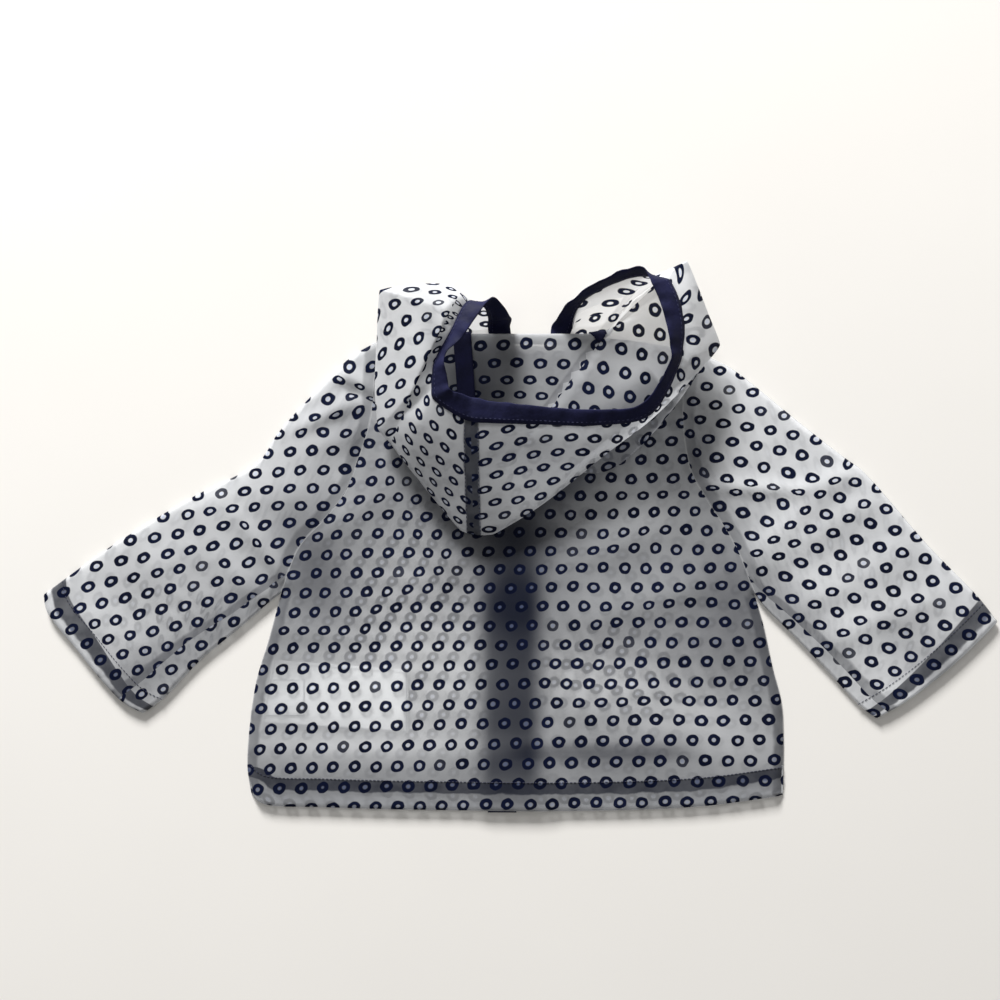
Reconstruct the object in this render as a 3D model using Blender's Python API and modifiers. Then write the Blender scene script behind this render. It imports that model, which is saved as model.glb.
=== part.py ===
"""Toddler raincoat of printed see-through film, laid face down with its hood folded back.

Sizes are in millimetres and become metres where a mesh is made.  X runs across the coat,
+Y from the hem to the neck, and Z up from the surface that the coat lies on.  The two
fronts lie on that surface, the back lies on them, and the hood stands open on the back.
"""
import bpy
import bmesh
import numpy as np

MM = 0.001
BASE_MIDDLE = (-0.45, -2.45, 0.0)  # the outlines' own place for the middle of the coat's base
WALL = 1.0              # thickness of each film wall
TAPE = 1.6              # thickness of the folded binding round the face opening
GAP = 0.3               # air between two pieces that touch
SEAM_INSET = 0.3        # each panel stops this far short of the seam line
ARMHOLE_INSET = 0.5     # and each sleeve this far
LAYER = WALL + GAP      # height from one lying layer to the next

FRONT_HEIGHT = WALL / 2            # middle of the front's wall
SIDE_HEIGHT = FRONT_HEIGHT + LAYER  # the back where it is sewn to the fronts
BACK_HEIGHT = 4.4                  # the back elsewhere, over the turned-up hems
ARMHOLE_HEIGHT = 3.6
SLEEVE_EDGE_HEIGHT = 2.5           # the sleeve's upper layer along its long edges
EDGE_RISE = 9.0                    # how far in from a seam the back has risen
HEM_DEPTH = 20.0
CUFF_HEM_DEPTH = 18.0
HEM_INSET = 1.2                    # the turned-up layer starts this far above the fold
SLEEVE_EDGE_ROUND = 1.2
SLEEVE_EDGE_BULGE = 0.7            # share of that round at the middle of the edge
FOLDS_END = 128.0                  # the back's folds die out below this line at the neck,
FOLDS_FADE = 40.0                  # over this distance
PLACKET_HUMP = 1.2                 # extra height of the back where the plackets' hems lie
HUMP_LEFT = (-42.0, -24.0)
HUMP_RIGHT = (34.0, 14.0)
HUMP_TOP = (-150.0, -186.0)
FRONT_CLIMB = (25.0, 8.0)          # the right front climbs on to its placket between these
HOOD_CLEARANCE = 6.4               # lowest middle of the hood's wall over the back
FRONT_LAYER_TOP = 2.4              # below this the hood's wall belongs to the front neck
NECK_LINE = 147.0
BINDING_LOWEST = 1.0               # lowest middle of the binding, where it ends on the surface

PLACKET_WIDTH = 22.0
OVER_PLACKET_LEFT = -26.0          # left edge of the strip that lies outermost
UNDER_PLACKET_LEFT = -15.0
OVER_PLACKET_HEIGHT = 0.5
UNDER_PLACKET_HEIGHT = 2.9
PLACKET_TOP = 141.0
OVER_PLACKET_END = -211.5          # it shows just past the hem
UNDER_PLACKET_END = -207.5
SNAP_RADIUS = 4.5
SNAP_THICKNESS = 0.8
SNAP_SPACING = 75.0
SNAP_COUNT = 5
TOP_SNAP = 120.0

SEAM_TAPE_WIDTH = 14.0
SEAM_TAPE_END = -4                 # it stops before the roll at the neck
TAPE_CREASE = 1.0                  # it stands this much further in where it turns at the tip
TAPE_NARROWING = 0.6               # and is creased narrower there

FILM = ((0.80, 0.82, 0.85, 1.0), 0.35)
NAVY = ((0.02, 0.025, 0.10, 1.0), 0.55)
WHITE = ((0.90, 0.90, 0.88, 1.0), 0.60)
METAL = ((0.06, 0.07, 0.16, 1.0), 0.30)

# ---------------------------------------------------------------- outlines, in mm

LEFT_SIDE = [(-208, -197), (-211, -176), (-209, -143), (-204, -110), (-195, -80), (-185, -43)]
RIGHT_SIDE = [(201, -198), (201.5, -159), (200, -127), (193, -99), (186, -67), (179, -43)]
LEFT_ARMHOLE = [(-185, -43), (-171, -7), (-150, 16), (-136, 34), (-125, 62), (-116, 92), (-111, 150)]
RIGHT_ARMHOLE = [(179, -43), (167, -12), (156, 8), (143, 28), (130, 52), (124, 95), (128, 145)]
BACK_HEM = [(-208, -197), (-199, -204), (-150, -207), (-31, -209.5), (62, -209.5), (140, -206),
            (201, -198)]
LEFT_SHOULDER = [(-111, 150), (-66, 152.5)]
RIGHT_SHOULDER = [(64, 152.5), (128, 145)]
BACK_NECK = [(-66, 152.5), (-56, 147.2), (-8, 147.2), (46, 147.2), (64, 152.5)]
LEFT_FRONT_NECK = [(-66, 152.5), (-56, 146.0), (-43, 143.2), (-26.3, 141.5)]
RIGHT_FRONT_NECK = [(7.3, 141), (26, 142.8), (42, 145.4), (57, 150), (64, 152.5)]

LEFT_SLEEVE_TOP = [(-111, 151), (-130, 140), (-156, 115), (-187, 81), (-202, 59), (-256, 30),
                   (-320, -9), (-367, -43)]
LEFT_SLEEVE_LOW = [(-185, -43), (-194, -50), (-217, -70), (-246, -94), (-275, -124), (-290, -135)]
LEFT_CUFF = [(-367, -43), (-364, -57), (-342, -85), (-320, -112), (-305, -127), (-290, -135)]
RIGHT_SLEEVE_TOP = [(128, 146), (157, 133), (169, 125), (216, 87), (251, 60), (261, 53),
                    (314, -7), (351, -45), (366, -64)]
RIGHT_SLEEVE_LOW = [(179, -43), (187, -54), (205, -72), (232, -100), (260, -130), (272, -139)]
RIGHT_CUFF = [(366, -64), (332, -97), (296, -125), (272, -139)]

CARE_LABEL = [(-191, -94), (-87, -102), (-87, -150), (-200, -143)]
LABEL_HEIGHT = FRONT_HEIGHT + LAYER

# Soft folds of the upper layer: from and to (mm), half width, and height (minus is a trough).
FOLDS = [
    # from           to            width height
    ((-150, 122), (-128, 124), 7, 1.8),
    ((-146, 108), (-112, 112), 8, -1.6),
    ((-176, 80), (-116, 104), 9, 2.4),
    ((-250, 20), (-178, 30), 16, 1.4),
    ((-228, -62), (-176, 6), 12, 1.8),
    ((130, 96), (139, 48), 9, -1.8),
    ((136, 44), (216, 30), 8, 2.8),
    ((182, -24), (268, 30), 12, 2.2),
    ((238, -78), (318, -46), 11, 1.8),
    ((232, 20), (296, -30), 12, -1.2),
    ((58, -62), (150, -34), 16, 2.0),
    ((-150, 2), (-96, 40), 14, 1.6),
    ((-120, -60), (-60, -24), 20, 1.2),
    ((40, -128), (130, -118), 16, 1.2),
]

# The hood, one row for each section from its left neck end round over the crown to its
# right neck end.  A section starts at the free edge of the binding (rim), passes the edge
# of the film, its crest and its outer fold, comes back under, turns at the neck and ends
# at the neck seam.  An empty place is filled evenly from its neighbours.
HOOD = [
    dict(rim=(-9, 151, 1.1), edge=(-22, 148, 1.1), seam=(-25, 143.0, .6)),
    dict(rim=(-9, 160, 1.7), edge=(-24, 160, 1.7), turn=(-30, 158.5, 1.4), seam=(-33, 143.5, .6)),
    dict(rim=(-9, 169, 20), edge=(-24, 168, 17), turn=(-38, 159, 2.0), seam=(-43, 144.8, .6)),
    dict(rim=(-23, 178, 46), edge=(-29, 175, 33), turn=(-51, 160, 2.2), seam=(-55, 148, .7)),
    dict(rim=(-32, 167, 50), edge=(-41, 175, 43), crest=(-45, 180, 45), fold=(-52, 187, 39),
         lay=(-57, 176, 22), turn=(-63, 160, 5), seam=(-68, 154.0, 1.3)),
    dict(rim=(-42, 152, 53), edge=(-51, 157, 47), crest=(-63, 167, 54), fold=(-99, 187, 36),
         lay=(-86, 176, 18), turn=(-71, 159, 7.5), seam=(-67, 154.0, 2.4)),
    dict(rim=(-48, 144, 53), edge=(-56, 148, 47), crest=(-70, 156, 55), fold=(-110, 177, 33),
         lay=(-93, 165, 15), turn=(-69, 158.5, 8.5), seam=(-63, 152.8, 3.6)),
    dict(rim=(-57, 132, 54), edge=(-65, 131, 46), crest=(-76, 129, 52), fold=(-111, 114, 24),
         lay=(-97, 120, 10), turn=(-62, 156, 9.5), seam=(-58, 149.4, 4.2)),
    dict(rim=(-54, 111, 50), edge=(-65, 105, 45), crest=(-78, 95, 40), fold=(-89, 58, 20),
         lay=(-76, 92, 7.4), turn=(-54, 156, 9), seam=(-54, 148.4, 4.4)),
    dict(rim=(-37, 105, 42), edge=(-38, 89, 40), crest=(-38, 59, 33), fold=(-35, 3, 15),
         tuck=(-36, 5, 9), flap=(-38, 30, 6.8), lay=(-40, 70, 6.8), turn=(-46, 156, 8.5),
         seam=(-46, 148.3, 4.4)),
    dict(rim=(6, 99, 41), edge=(6, 87, 37), crest=(8, 66, 31), fold=(12, 23, 19),
         lay=(8, 83, 6.8), turn=(-4, 156, 8.5), seam=(-4, 148.3, 4.4)),
    dict(rim=(60, 96, 41), edge=(57, 86, 36), crest=(61, 75, 33), fold=(64, 64, 27),
         tuck=(58, 70, 17), flap=(62, 50, 9), lay=(50, 96, 7), turn=(30, 156, 8.5),
         seam=(30, 148.3, 4.4)),
    dict(rim=(88, 100, 46), edge=(94, 93, 39), crest=(98, 93, 37), fold=(101, 93, 33),
         tuck=(97, 98, 22), flap=(104, 84, 10.5), lay=(80, 118, 11), turn=(49, 156, 8.5),
         seam=(49, 149.2, 4.2)),
    dict(rim=(109, 132, 55), edge=(116, 131, 46), crest=(129, 134, 43), fold=(147, 138, 29),
         tuck=(140, 134, 22), flap=(127, 118, 15), lay=(105, 140, 13), turn=(61, 157, 8.5),
         seam=(58, 152.0, 3.8)),
    dict(rim=(106, 155, 57), edge=(118, 158, 48), crest=(128, 162, 45), fold=(138, 168, 36),
         lay=(107, 163, 20), turn=(68, 160, 8.5), seam=(65, 154.0, 3.0)),
    dict(rim=(100, 176, 57), edge=(113, 180, 49), crest=(121, 188, 47), fold=(128, 197, 41),
         lay=(110, 184, 27), turn=(73, 161.5, 8), seam=(67.5, 155.4, 2.3)),
    dict(rim=(95, 187, 56), edge=(107, 191, 48), crest=(112, 199, 46), fold=(119, 206, 42),
         lay=(103, 192, 32), turn=(72, 163, 7.5), seam=(68, 156, 1.8)),
    dict(rim=(86, 201, 52), edge=(86, 196, 40), turn=(62, 162, 3.4), seam=(59, 153.8, 1.0)),
    dict(rim=(36, 178, 29), edge=(45, 179, 22), turn=(42, 160, 2.2), seam=(42, 147.0, .6)),
    dict(rim=(23, 160, 1.7), edge=(37, 160, 1.7), turn=(37, 158.5, 1.4), seam=(37, 146.0, .6)),
    dict(rim=(22, 151, 1.1), edge=(34, 151, 1.1), seam=(33, 145.2, .6)),
]
HOOD_COLUMNS = ("edge", "crest", "fold", "tuck", "flap", "lay", "turn", "seam")
HOOD_STEPS = (3, 4, 3, 3, 3, 4, 3)      # pieces between each column and the next
CROWN_ROW = 9
ROWS_BETWEEN = 3
RIGHT_PLEAT = ((60, 150), (26, 104))    # the inner fold from the right neck point
PLEAT_HEIGHT = 4.0
PLEAT_WIDTH = 9.0
FOLD_DROP = 0.55                        # how much of a fold's height its round lower half takes
FOLD_RETURN = 0.10
NECK_TAPE_ROWS = (7, 14)                # its end shows inside, at the right neck point


# ---------------------------------------------------------------- curves and surfaces

def smooth_line(points, pieces):
    """A curve through the points, with so many pieces between each two of them."""
    p = np.array(points, float)
    gap = np.maximum(np.linalg.norm(np.diff(p, axis=0), axis=1), 1e-6) ** 0.5
    knot = np.concatenate([[0.0], np.cumsum(gap)])
    slope = np.zeros_like(p)
    chord = np.diff(p, axis=0) / gap[:, None]
    slope[0] = chord[0]
    slope[-1] = chord[-1]
    for i in range(1, len(p) - 1):
        a, b = gap[i - 1], gap[i]
        slope[i] = (chord[i - 1] * b + chord[i] * a) / (a + b)
    counts = [pieces] * (len(p) - 1) if np.isscalar(pieces) else list(pieces)
    line = [p[0]]
    for i, count in enumerate(counts):
        span = knot[i + 1] - knot[i]
        for k in range(1, count + 1):
            t = k / count
            line.append((2 * t**3 - 3 * t**2 + 1) * p[i] + (t**3 - 2 * t**2 + t) * span * slope[i]
                        + (3 * t**2 - 2 * t**3) * p[i + 1] + (t**3 - t**2) * span * slope[i + 1])
    return np.array(line)


def along(points, fractions):
    """Points at fractions of the length of the smooth curve through the given points."""
    fine = smooth_line(points, 16)
    length = np.concatenate([[0.0], np.cumsum(np.linalg.norm(np.diff(fine, axis=0), axis=1))])
    wanted = np.array(fractions, float) * length[-1]
    return np.stack([np.interp(wanted, length, fine[:, k]) for k in range(fine.shape[1])], axis=1)


def shares(line):
    """Each point's share of a line's length."""
    run = np.concatenate([[0.0], np.cumsum(np.linalg.norm(np.diff(line, axis=0), axis=1))])
    return run / run[-1]


def patch(start, end, low, high):
    """Fill four border curves: start and end run across, low and high run along."""
    u, v = shares(start)[None, :, None], shares(low)[:, None, None]
    corners = ((1 - u) * (1 - v) * start[0] + u * (1 - v) * start[-1]
               + (1 - u) * v * end[0] + u * v * end[-1])
    return ((1 - v) * start[None] + v * end[None] + (1 - u) * low[:, None] + u * high[:, None]
            - corners)


def ease(value):
    """0 below 0, 1 above 1, and a soft step between."""
    t = np.clip(value, 0, 1)
    return t * t * (3 - 2 * t)


def distance_to(places, line):
    """Distance of each place from a polyline."""
    line = np.array(line, float)
    best = np.full(places.shape[:-1], np.inf)
    for a, b in zip(line[:-1], line[1:]):
        run = b - a
        t = np.clip(((places - a) @ run) / (run @ run), 0, 1)
        best = np.minimum(best, np.linalg.norm(places - (a + t[..., None] * run), axis=-1))
    return best


def fold_height(places):
    """Height that the soft folds add to the upper layer."""
    height = np.zeros(places.shape[:-1])
    for start, end, width, rise in FOLDS:
        a, b = np.array(start, float), np.array(end, float)
        run = b - a
        t = np.clip(((places - a) @ run) / (run @ run), 0, 1)
        away = np.linalg.norm(places - (a + t[..., None] * run), axis=-1)
        fullness = 0.35 + 0.65 * np.sin(np.pi * (0.15 + 0.7 * t))
        height += rise * np.exp(-(away / width) ** 2) * fullness
    return height


def between(value, start, end):
    """A soft step from 0 at start to 1 at end."""
    return ease((value - start) / (end - start))


def hem_hump(places):
    """The back is carried over both plackets where their hems are turned up."""
    x, y = places[..., 0], places[..., 1]
    return PLACKET_HUMP * between(x, *HUMP_LEFT) * between(x, *HUMP_RIGHT) * between(y, *HUMP_TOP)


def evenly(line, count=24):
    return along(line, np.linspace(0, 1, count))


SEWN_EDGES = [evenly(line) for line in (LEFT_SIDE, RIGHT_SIDE, LEFT_SHOULDER, RIGHT_SHOULDER)]
ARMHOLES = [evenly(line) for line in (LEFT_ARMHOLE, RIGHT_ARMHOLE)]


def back_height(places):
    """Middle of the back's wall: low along its seams, and level over the fronts inside them."""
    low = np.min([distance_to(places, line) for line in SEWN_EDGES], axis=0)
    arm = np.min([distance_to(places, line) for line in ARMHOLES], axis=0)
    base = SIDE_HEIGHT + (BACK_HEIGHT - SIDE_HEIGHT) * ease(low / EDGE_RISE)
    arm_height = ARMHOLE_HEIGHT + (BACK_HEIGHT - ARMHOLE_HEIGHT) * ease(arm / EDGE_RISE)
    inside = ease(low / EDGE_RISE) * between(places[..., 1], FOLDS_END, FOLDS_END - FOLDS_FADE)
    return np.minimum(base, arm_height) + fold_height(places) * inside + hem_hump(places)


def front_height(places):
    """Middle of the fronts' wall: flat, but the right one climbs on to its placket."""
    climb = between(places[..., 0], *FRONT_CLIMB) * (places[..., 0] > 0)
    return FRONT_HEIGHT + (UNDER_PLACKET_HEIGHT - FRONT_HEIGHT) * climb


# ---------------------------------------------------------------- Blender objects

def clear_scene():
    for thing in list(bpy.data.objects):
        bpy.data.objects.remove(thing, do_unlink=True)


def material(name, look):
    colour, roughness = look
    made = bpy.data.materials.get(name) or bpy.data.materials.new(name)
    made.use_nodes = True
    shader = made.node_tree.nodes["Principled BSDF"]
    shader.inputs["Base Color"].default_value = colour
    shader.inputs["Roughness"].default_value = roughness
    shader.inputs["Metallic"].default_value = 0.0
    return made


def sheet(name, grid, look, thickness=WALL, ring=False):
    """A film wall: an open surface from a grid of points, thickened evenly to both sides."""
    rows, cols = grid.shape[:2]
    mesh = bpy.data.meshes.new(name)
    shape = bmesh.new()
    placed = (grid - BASE_MIDDLE) * MM
    points = [[shape.verts.new(placed[r, c]) for c in range(cols)] for r in range(rows)]
    for r in range(rows - 1):
        for c in range(cols if ring else cols - 1):
            d = (c + 1) % cols
            shape.faces.new((points[r][c], points[r][d], points[r + 1][d], points[r + 1][c]))
    bmesh.ops.recalc_face_normals(shape, faces=shape.faces)
    shape.to_mesh(mesh)
    shape.free()
    mesh.shade_smooth()
    thing = bpy.data.objects.new(name, mesh)
    garment.objects.link(thing)
    mesh.materials.append(material(*look))
    wall = thing.modifiers.new("Wall", "SOLIDIFY")
    wall.thickness = thickness * MM
    wall.offset = 0.0
    return thing


def with_height(plan, height):
    return np.concatenate([plan, height[..., None]], axis=-1)


def pull_in(grid, amount, start=False, end=False, low=False, high=False):
    """Move the border rows and columns of a grid in from the seam lines."""
    out = grid.copy()

    def shift(border, inner):
        away = inner - border
        return border + unit(away) * amount

    if start:
        out[0] = shift(grid[0], grid[1])
    if end:
        out[-1] = shift(grid[-1], grid[-2])
    if low:
        out[:, 0] = shift(out[:, 0], out[:, 1])
    if high:
        out[:, -1] = shift(out[:, -1], out[:, -2])
    return out


def unit(vectors):
    return vectors / np.maximum(np.linalg.norm(vectors, axis=-1, keepdims=True), 1e-9)


def normals(grid):
    """Unit normals at a grid's points: the mean of the faces that meet there."""
    faces = unit(np.cross(grid[1:, 1:] - grid[:-1, :-1], grid[:-1, 1:] - grid[1:, :-1]))
    total = np.zeros_like(grid)
    total[1:, 1:] += faces
    total[1:, :-1] += faces
    total[:-1, 1:] += faces
    total[:-1, :-1] += faces
    return unit(total)


# ---------------------------------------------------------------- body

SIDE_STOPS = np.array([0, .05, .1, .3, .5, .75, 1.0])
ARM_STOPS = np.linspace(0, 1, 11)
ACROSS = np.array([0, .022, .06, .12, .19, .26, .33, .40, .455, .51, .56, .62, .68, .74, .81, .88,
                   .94, .978, 1.0])
HALF_ACROSS = np.array([0, .05, .14, .26, .4, .55, .7, .85, 1.0])


def side_border(side, armhole):
    """The outer border of a body panel, hem to shoulder, with the armpit at a point."""
    return np.concatenate([along(side, SIDE_STOPS), along(armhole, ARM_STOPS)[1:]])


def joined(first, then):
    return list(first) + list(then)[1:]


def back_plan():
    hem = along(BACK_HEM, ACROSS)
    top_line = joined(joined(LEFT_SHOULDER, BACK_NECK), RIGHT_SHOULDER)
    top = along(top_line, ACROSS)
    left, right = side_border(LEFT_SIDE, LEFT_ARMHOLE), side_border(RIGHT_SIDE, RIGHT_ARMHOLE)
    return patch(hem, top, left, right)


def front_plan(left):
    """Plan of one front: its side and armhole are the back's, its inner edge is the placket."""
    if left:
        inner, outer = OVER_PLACKET_LEFT - GAP, side_border(LEFT_SIDE, LEFT_ARMHOLE)
        hem_line = [(-208, -196), (-199, -203), (-150, -206), (inner, -208)]
        top_line = joined(LEFT_SHOULDER, LEFT_FRONT_NECK)
    else:
        inner, outer = UNDER_PLACKET_LEFT + PLACKET_WIDTH + GAP, side_border(RIGHT_SIDE, RIGHT_ARMHOLE)
        hem_line = [(inner, -208), (62, -208), (140, -205), (201, -197)]
        top_line = joined(RIGHT_FRONT_NECK, RIGHT_SHOULDER)
    outer[0] = hem_line[0 if left else -1]
    stops = HALF_ACROSS if left else 1 - HALF_ACROSS[::-1]
    hem, top = along(hem_line, stops), along(top_line, stops)
    low, high = (hem[-1], top[-1]) if left else (hem[0], top[0])
    inner_edge = low + (high - low) * shares(outer)[:, None]
    return patch(hem, top, outer, inner_edge) if left else patch(hem, top, inner_edge, outer)


def hem_strip(plan, depth, height, lift, inset):
    """The turned-up hem: the lowest stretch of a panel's own points, on its inner side."""
    inward = unit(plan[len(SIDE_STOPS) - 1] - plan[0])
    strip = np.array([plan[0] + inward * distance for distance in (inset, depth / 2, depth)])
    return with_height(strip, height(strip) + lift)


def make_body():
    plan = back_plan()
    back = pull_in(plan, SEAM_INSET, low=True, high=True)
    sheet("back", with_height(back, back_height(back)), film)
    hem = hem_strip(plan, HEM_DEPTH, back_height, -LAYER, HEM_INSET)
    sheet("back_hem", hem[:, 2:-2], film)
    for left in (True, False):
        name = "left" if left else "right"
        plan = front_plan(left)
        front = pull_in(plan, SEAM_INSET, low=left, high=not left)
        sheet("front_" + name, with_height(front, front_height(front)), film)
        strip = hem_strip(plan, HEM_DEPTH, front_height, LAYER, HEM_INSET)
        sheet("front_hem_" + name, strip[:, 2:-1] if left else strip[:, 1:-2], film)


def make_plackets():
    strips = (("placket_over", OVER_PLACKET_LEFT, OVER_PLACKET_END, OVER_PLACKET_HEIGHT),
              ("placket_under", UNDER_PLACKET_LEFT, UNDER_PLACKET_END, UNDER_PLACKET_HEIGHT))
    for name, left, end, height in strips:
        across = np.linspace(left, left + PLACKET_WIDTH, 3)
        up = np.linspace(end, PLACKET_TOP, 9)
        plan = np.stack(np.meshgrid(across, up), axis=-1)
        sheet(name, with_height(plan, np.full(plan.shape[:2], height)), navy)
    overlap_middle = (UNDER_PLACKET_LEFT + OVER_PLACKET_LEFT + PLACKET_WIDTH) / 2
    height = OVER_PLACKET_HEIGHT + WALL / 2 + GAP + SNAP_THICKNESS / 2
    for number in range(SNAP_COUNT):
        place = np.array([overlap_middle, TOP_SNAP - SNAP_SPACING * number, height])
        bpy.ops.mesh.primitive_cylinder_add(vertices=20, radius=SNAP_RADIUS * MM,
                                            depth=SNAP_THICKNESS * MM,
                                            location=(place - BASE_MIDDLE) * MM)
        snap = bpy.context.object
        snap.name = "snap_%d" % (number + 1)
        snap.data.materials.append(material(*metal))
        for holder in list(snap.users_collection):
            holder.objects.unlink(snap)
        garment.objects.link(snap)


def make_care_label():
    top_left, top_right, low_right, low_left = CARE_LABEL
    stops = (0, 0.3, 0.6, 1)
    plan = patch(along([top_left, top_right], stops), along([low_left, low_right], stops),
                 along([top_left, low_left], stops), along([top_right, low_right], stops))
    sheet("care_label", with_height(plan, np.full(plan.shape[:2], LABEL_HEIGHT)), label_white)


# ---------------------------------------------------------------- sleeves

SLEEVE_STOPS = np.array([0, .03, .08, .14, .2, .27, .34, .41, .48, .56, .64, .72, .80, .88, .95, 1.0])


def sleeve_plan(armhole, top, low, cuff):
    """Plan of a sleeve: rows run from the armhole to the cuff, columns from top to underarm."""
    start = along(armhole, 1 - ARM_STOPS)
    end = along(cuff, ARM_STOPS)
    return patch(start, end, along(top, SLEEVE_STOPS), along(low, SLEEVE_STOPS))


def sleeve_ring(plan, armhole, inset=0.0):
    """Close the plan to flat rings: the upper layer, and the lower one on the surface."""
    across = unit(plan[:, -1] - plan[:, 0])
    margin = SLEEVE_EDGE_ROUND + inset
    width = np.linalg.norm(plan[:, -1] - plan[:, 0], axis=-1)[:, None]
    share = (margin / width)[..., None]
    middle = (plan[:, :1] + plan[:, -1:]) / 2
    narrow = middle + (plan - middle) * (1 - 2 * share)
    u = np.linspace(0, 1, plan.shape[1])
    from_edge = np.minimum(u, 1 - u)[None] * width
    arm = distance_to(narrow, evenly(armhole))
    at_edge = SLEEVE_EDGE_HEIGHT + (BACK_HEIGHT - SLEEVE_EDGE_HEIGHT) * ease(from_edge / EDGE_RISE)
    at_arm = ARMHOLE_HEIGHT + (BACK_HEIGHT - ARMHOLE_HEIGHT) * ease(arm / EDGE_RISE)
    folds = fold_height(narrow) * ease(from_edge / EDGE_RISE / 1.4)
    upper = np.minimum(at_edge, at_arm) + folds - inset
    lower = np.full_like(upper, FRONT_HEIGHT + inset)
    middle_height = (upper + lower) / 2
    bulge = across[:, None] * SLEEVE_EDGE_ROUND * SLEEVE_EDGE_BULGE
    top_end = with_height(narrow[:, :1] - bulge, middle_height[:, :1])
    low_end = with_height(narrow[:, -1:] + bulge, middle_height[:, -1:])
    under = with_height(narrow, lower)[:, ::-1]
    return np.concatenate([with_height(narrow, upper), low_end, under, top_end], axis=1)


def make_sleeve(name, armhole, top, low, cuff):
    plan = sleeve_plan(armhole, top, low, cuff)
    ring = pull_in(sleeve_ring(plan, armhole), ARMHOLE_INSET, start=True)
    sheet("sleeve_" + name, ring, film, ring=True)
    inward = unit(plan[-3] - plan[-1])
    depths = (HEM_INSET, CUFF_HEM_DEPTH / 2, CUFF_HEM_DEPTH)
    turned = np.array([plan[-1] + inward * depth for depth in depths])
    hem = sleeve_ring(turned, armhole, inset=LAYER)
    sheet("cuff_hem_" + name, hem[:, :plan.shape[1]][:, 1:-1], film)


# ---------------------------------------------------------------- hood

def rounded_fold(row):
    """Give a plain fold its round lower half."""
    fold, lay = np.array(row["fold"], float), np.array(row["lay"], float)
    drop = (fold[2] - lay[2]) * FOLD_DROP
    tuck = fold + (lay - fold) * FOLD_RETURN
    tuck[2] = fold[2] - drop
    return dict(row, tuck=tuck, flap=(tuck + lay) / 2)


def hood_section(row):
    """Control points of one section of the hood, with the empty places filled evenly."""
    if "fold" in row and "tuck" not in row:
        row = rounded_fold(row)
    given = [k for k, column in enumerate(HOOD_COLUMNS) if column in row]
    points = np.zeros((len(HOOD_COLUMNS), 3))
    for axis in range(3):
        values = [row[HOOD_COLUMNS[k]][axis] for k in given]
        points[:, axis] = np.interp(range(len(HOOD_COLUMNS)), given, values)
    return points


def hood_grid():
    """All sections of the hood, the left neck end first; each runs from film edge to neck seam."""
    sections = np.array([smooth_line(hood_section(row), HOOD_STEPS) for row in HOOD])
    columns = [smooth_line(sections[:, k], ROWS_BETWEEN) for k in range(sections.shape[1])]
    grid = np.stack(columns, axis=1)
    grid[..., 2] += pleat_step(grid)
    return clear_of_back(grid)


def pleat_step(grid):
    """Raise the lower layer on the right of its pleat, fading out to the flap and the seam."""
    start, end = np.array(RIGHT_PLEAT[0], float), np.array(RIGHT_PLEAT[1], float)
    run = (end - start) / np.linalg.norm(end - start)
    side = (grid[..., 0] - start[0]) * -run[1] + (grid[..., 1] - start[1]) * run[0]
    lying = sum(HOOD_STEPS[:4])
    column = np.arange(grid.shape[1])
    fade = ease((column - lying) / HOOD_STEPS[4]) * ease((grid.shape[1] - 1 - column) / HOOD_STEPS[6])
    past_crown = (np.arange(grid.shape[0]) > CROWN_ROW * ROWS_BETWEEN)[:, None]
    over_front = grid[..., 2] > FRONT_LAYER_TOP
    return PLEAT_HEIGHT * ease(side / PLEAT_WIDTH) * fade * past_crown * over_front


def clear_of_back(grid):
    """Keep the hood's lowest layer just above the back and the shoulders."""
    out = grid.copy()
    height = out[..., 2]
    over_coat = (out[..., 1] < NECK_LINE) & (height > FRONT_LAYER_TOP) & (height < HOOD_CLEARANCE)
    height[over_coat] = HOOD_CLEARANCE
    return out


def make_hood():
    grid = hood_grid()
    crown = CROWN_ROW * ROWS_BETWEEN
    left = pull_in(grid[:crown + 1], SEAM_INSET, end=True)
    right = pull_in(grid[crown:], SEAM_INSET, start=True)
    sheet("hood_left", left, film)
    sheet("hood_right", right, film)
    make_binding(grid)
    make_seam_tape(grid, crown)
    make_neck_tape(grid)


def make_binding(grid):
    """The navy binding runs on from the film's edge to its own free edge."""
    rim = smooth_line([row["rim"] for row in HOOD], ROWS_BETWEEN)
    edge = grid[:, 0]
    away = unit(rim - edge)
    onward = unit(edge - grid[:, 1])
    turn = np.arccos(np.clip((away * onward).sum(axis=-1), -1, 1))
    clear = GAP + (WALL + TAPE) / 2 * np.tan(np.minimum(turn, 1.9) / 2)
    start = edge + away * clear[:, None]
    ribbon = np.stack([start, (start + rim) / 2, rim], axis=1)
    ribbon[..., 2] = np.maximum(ribbon[..., 2], BINDING_LOWEST)
    sheet("hood_binding", ribbon, navy, thickness=TAPE)


def inner_side(grid, distance):
    """The hood's points moved to its inner side."""
    away = normals(grid)
    upper_middle = away[CROWN_ROW * ROWS_BETWEEN, 1]
    return grid - away * np.sign(upper_middle[2]) * distance


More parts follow.
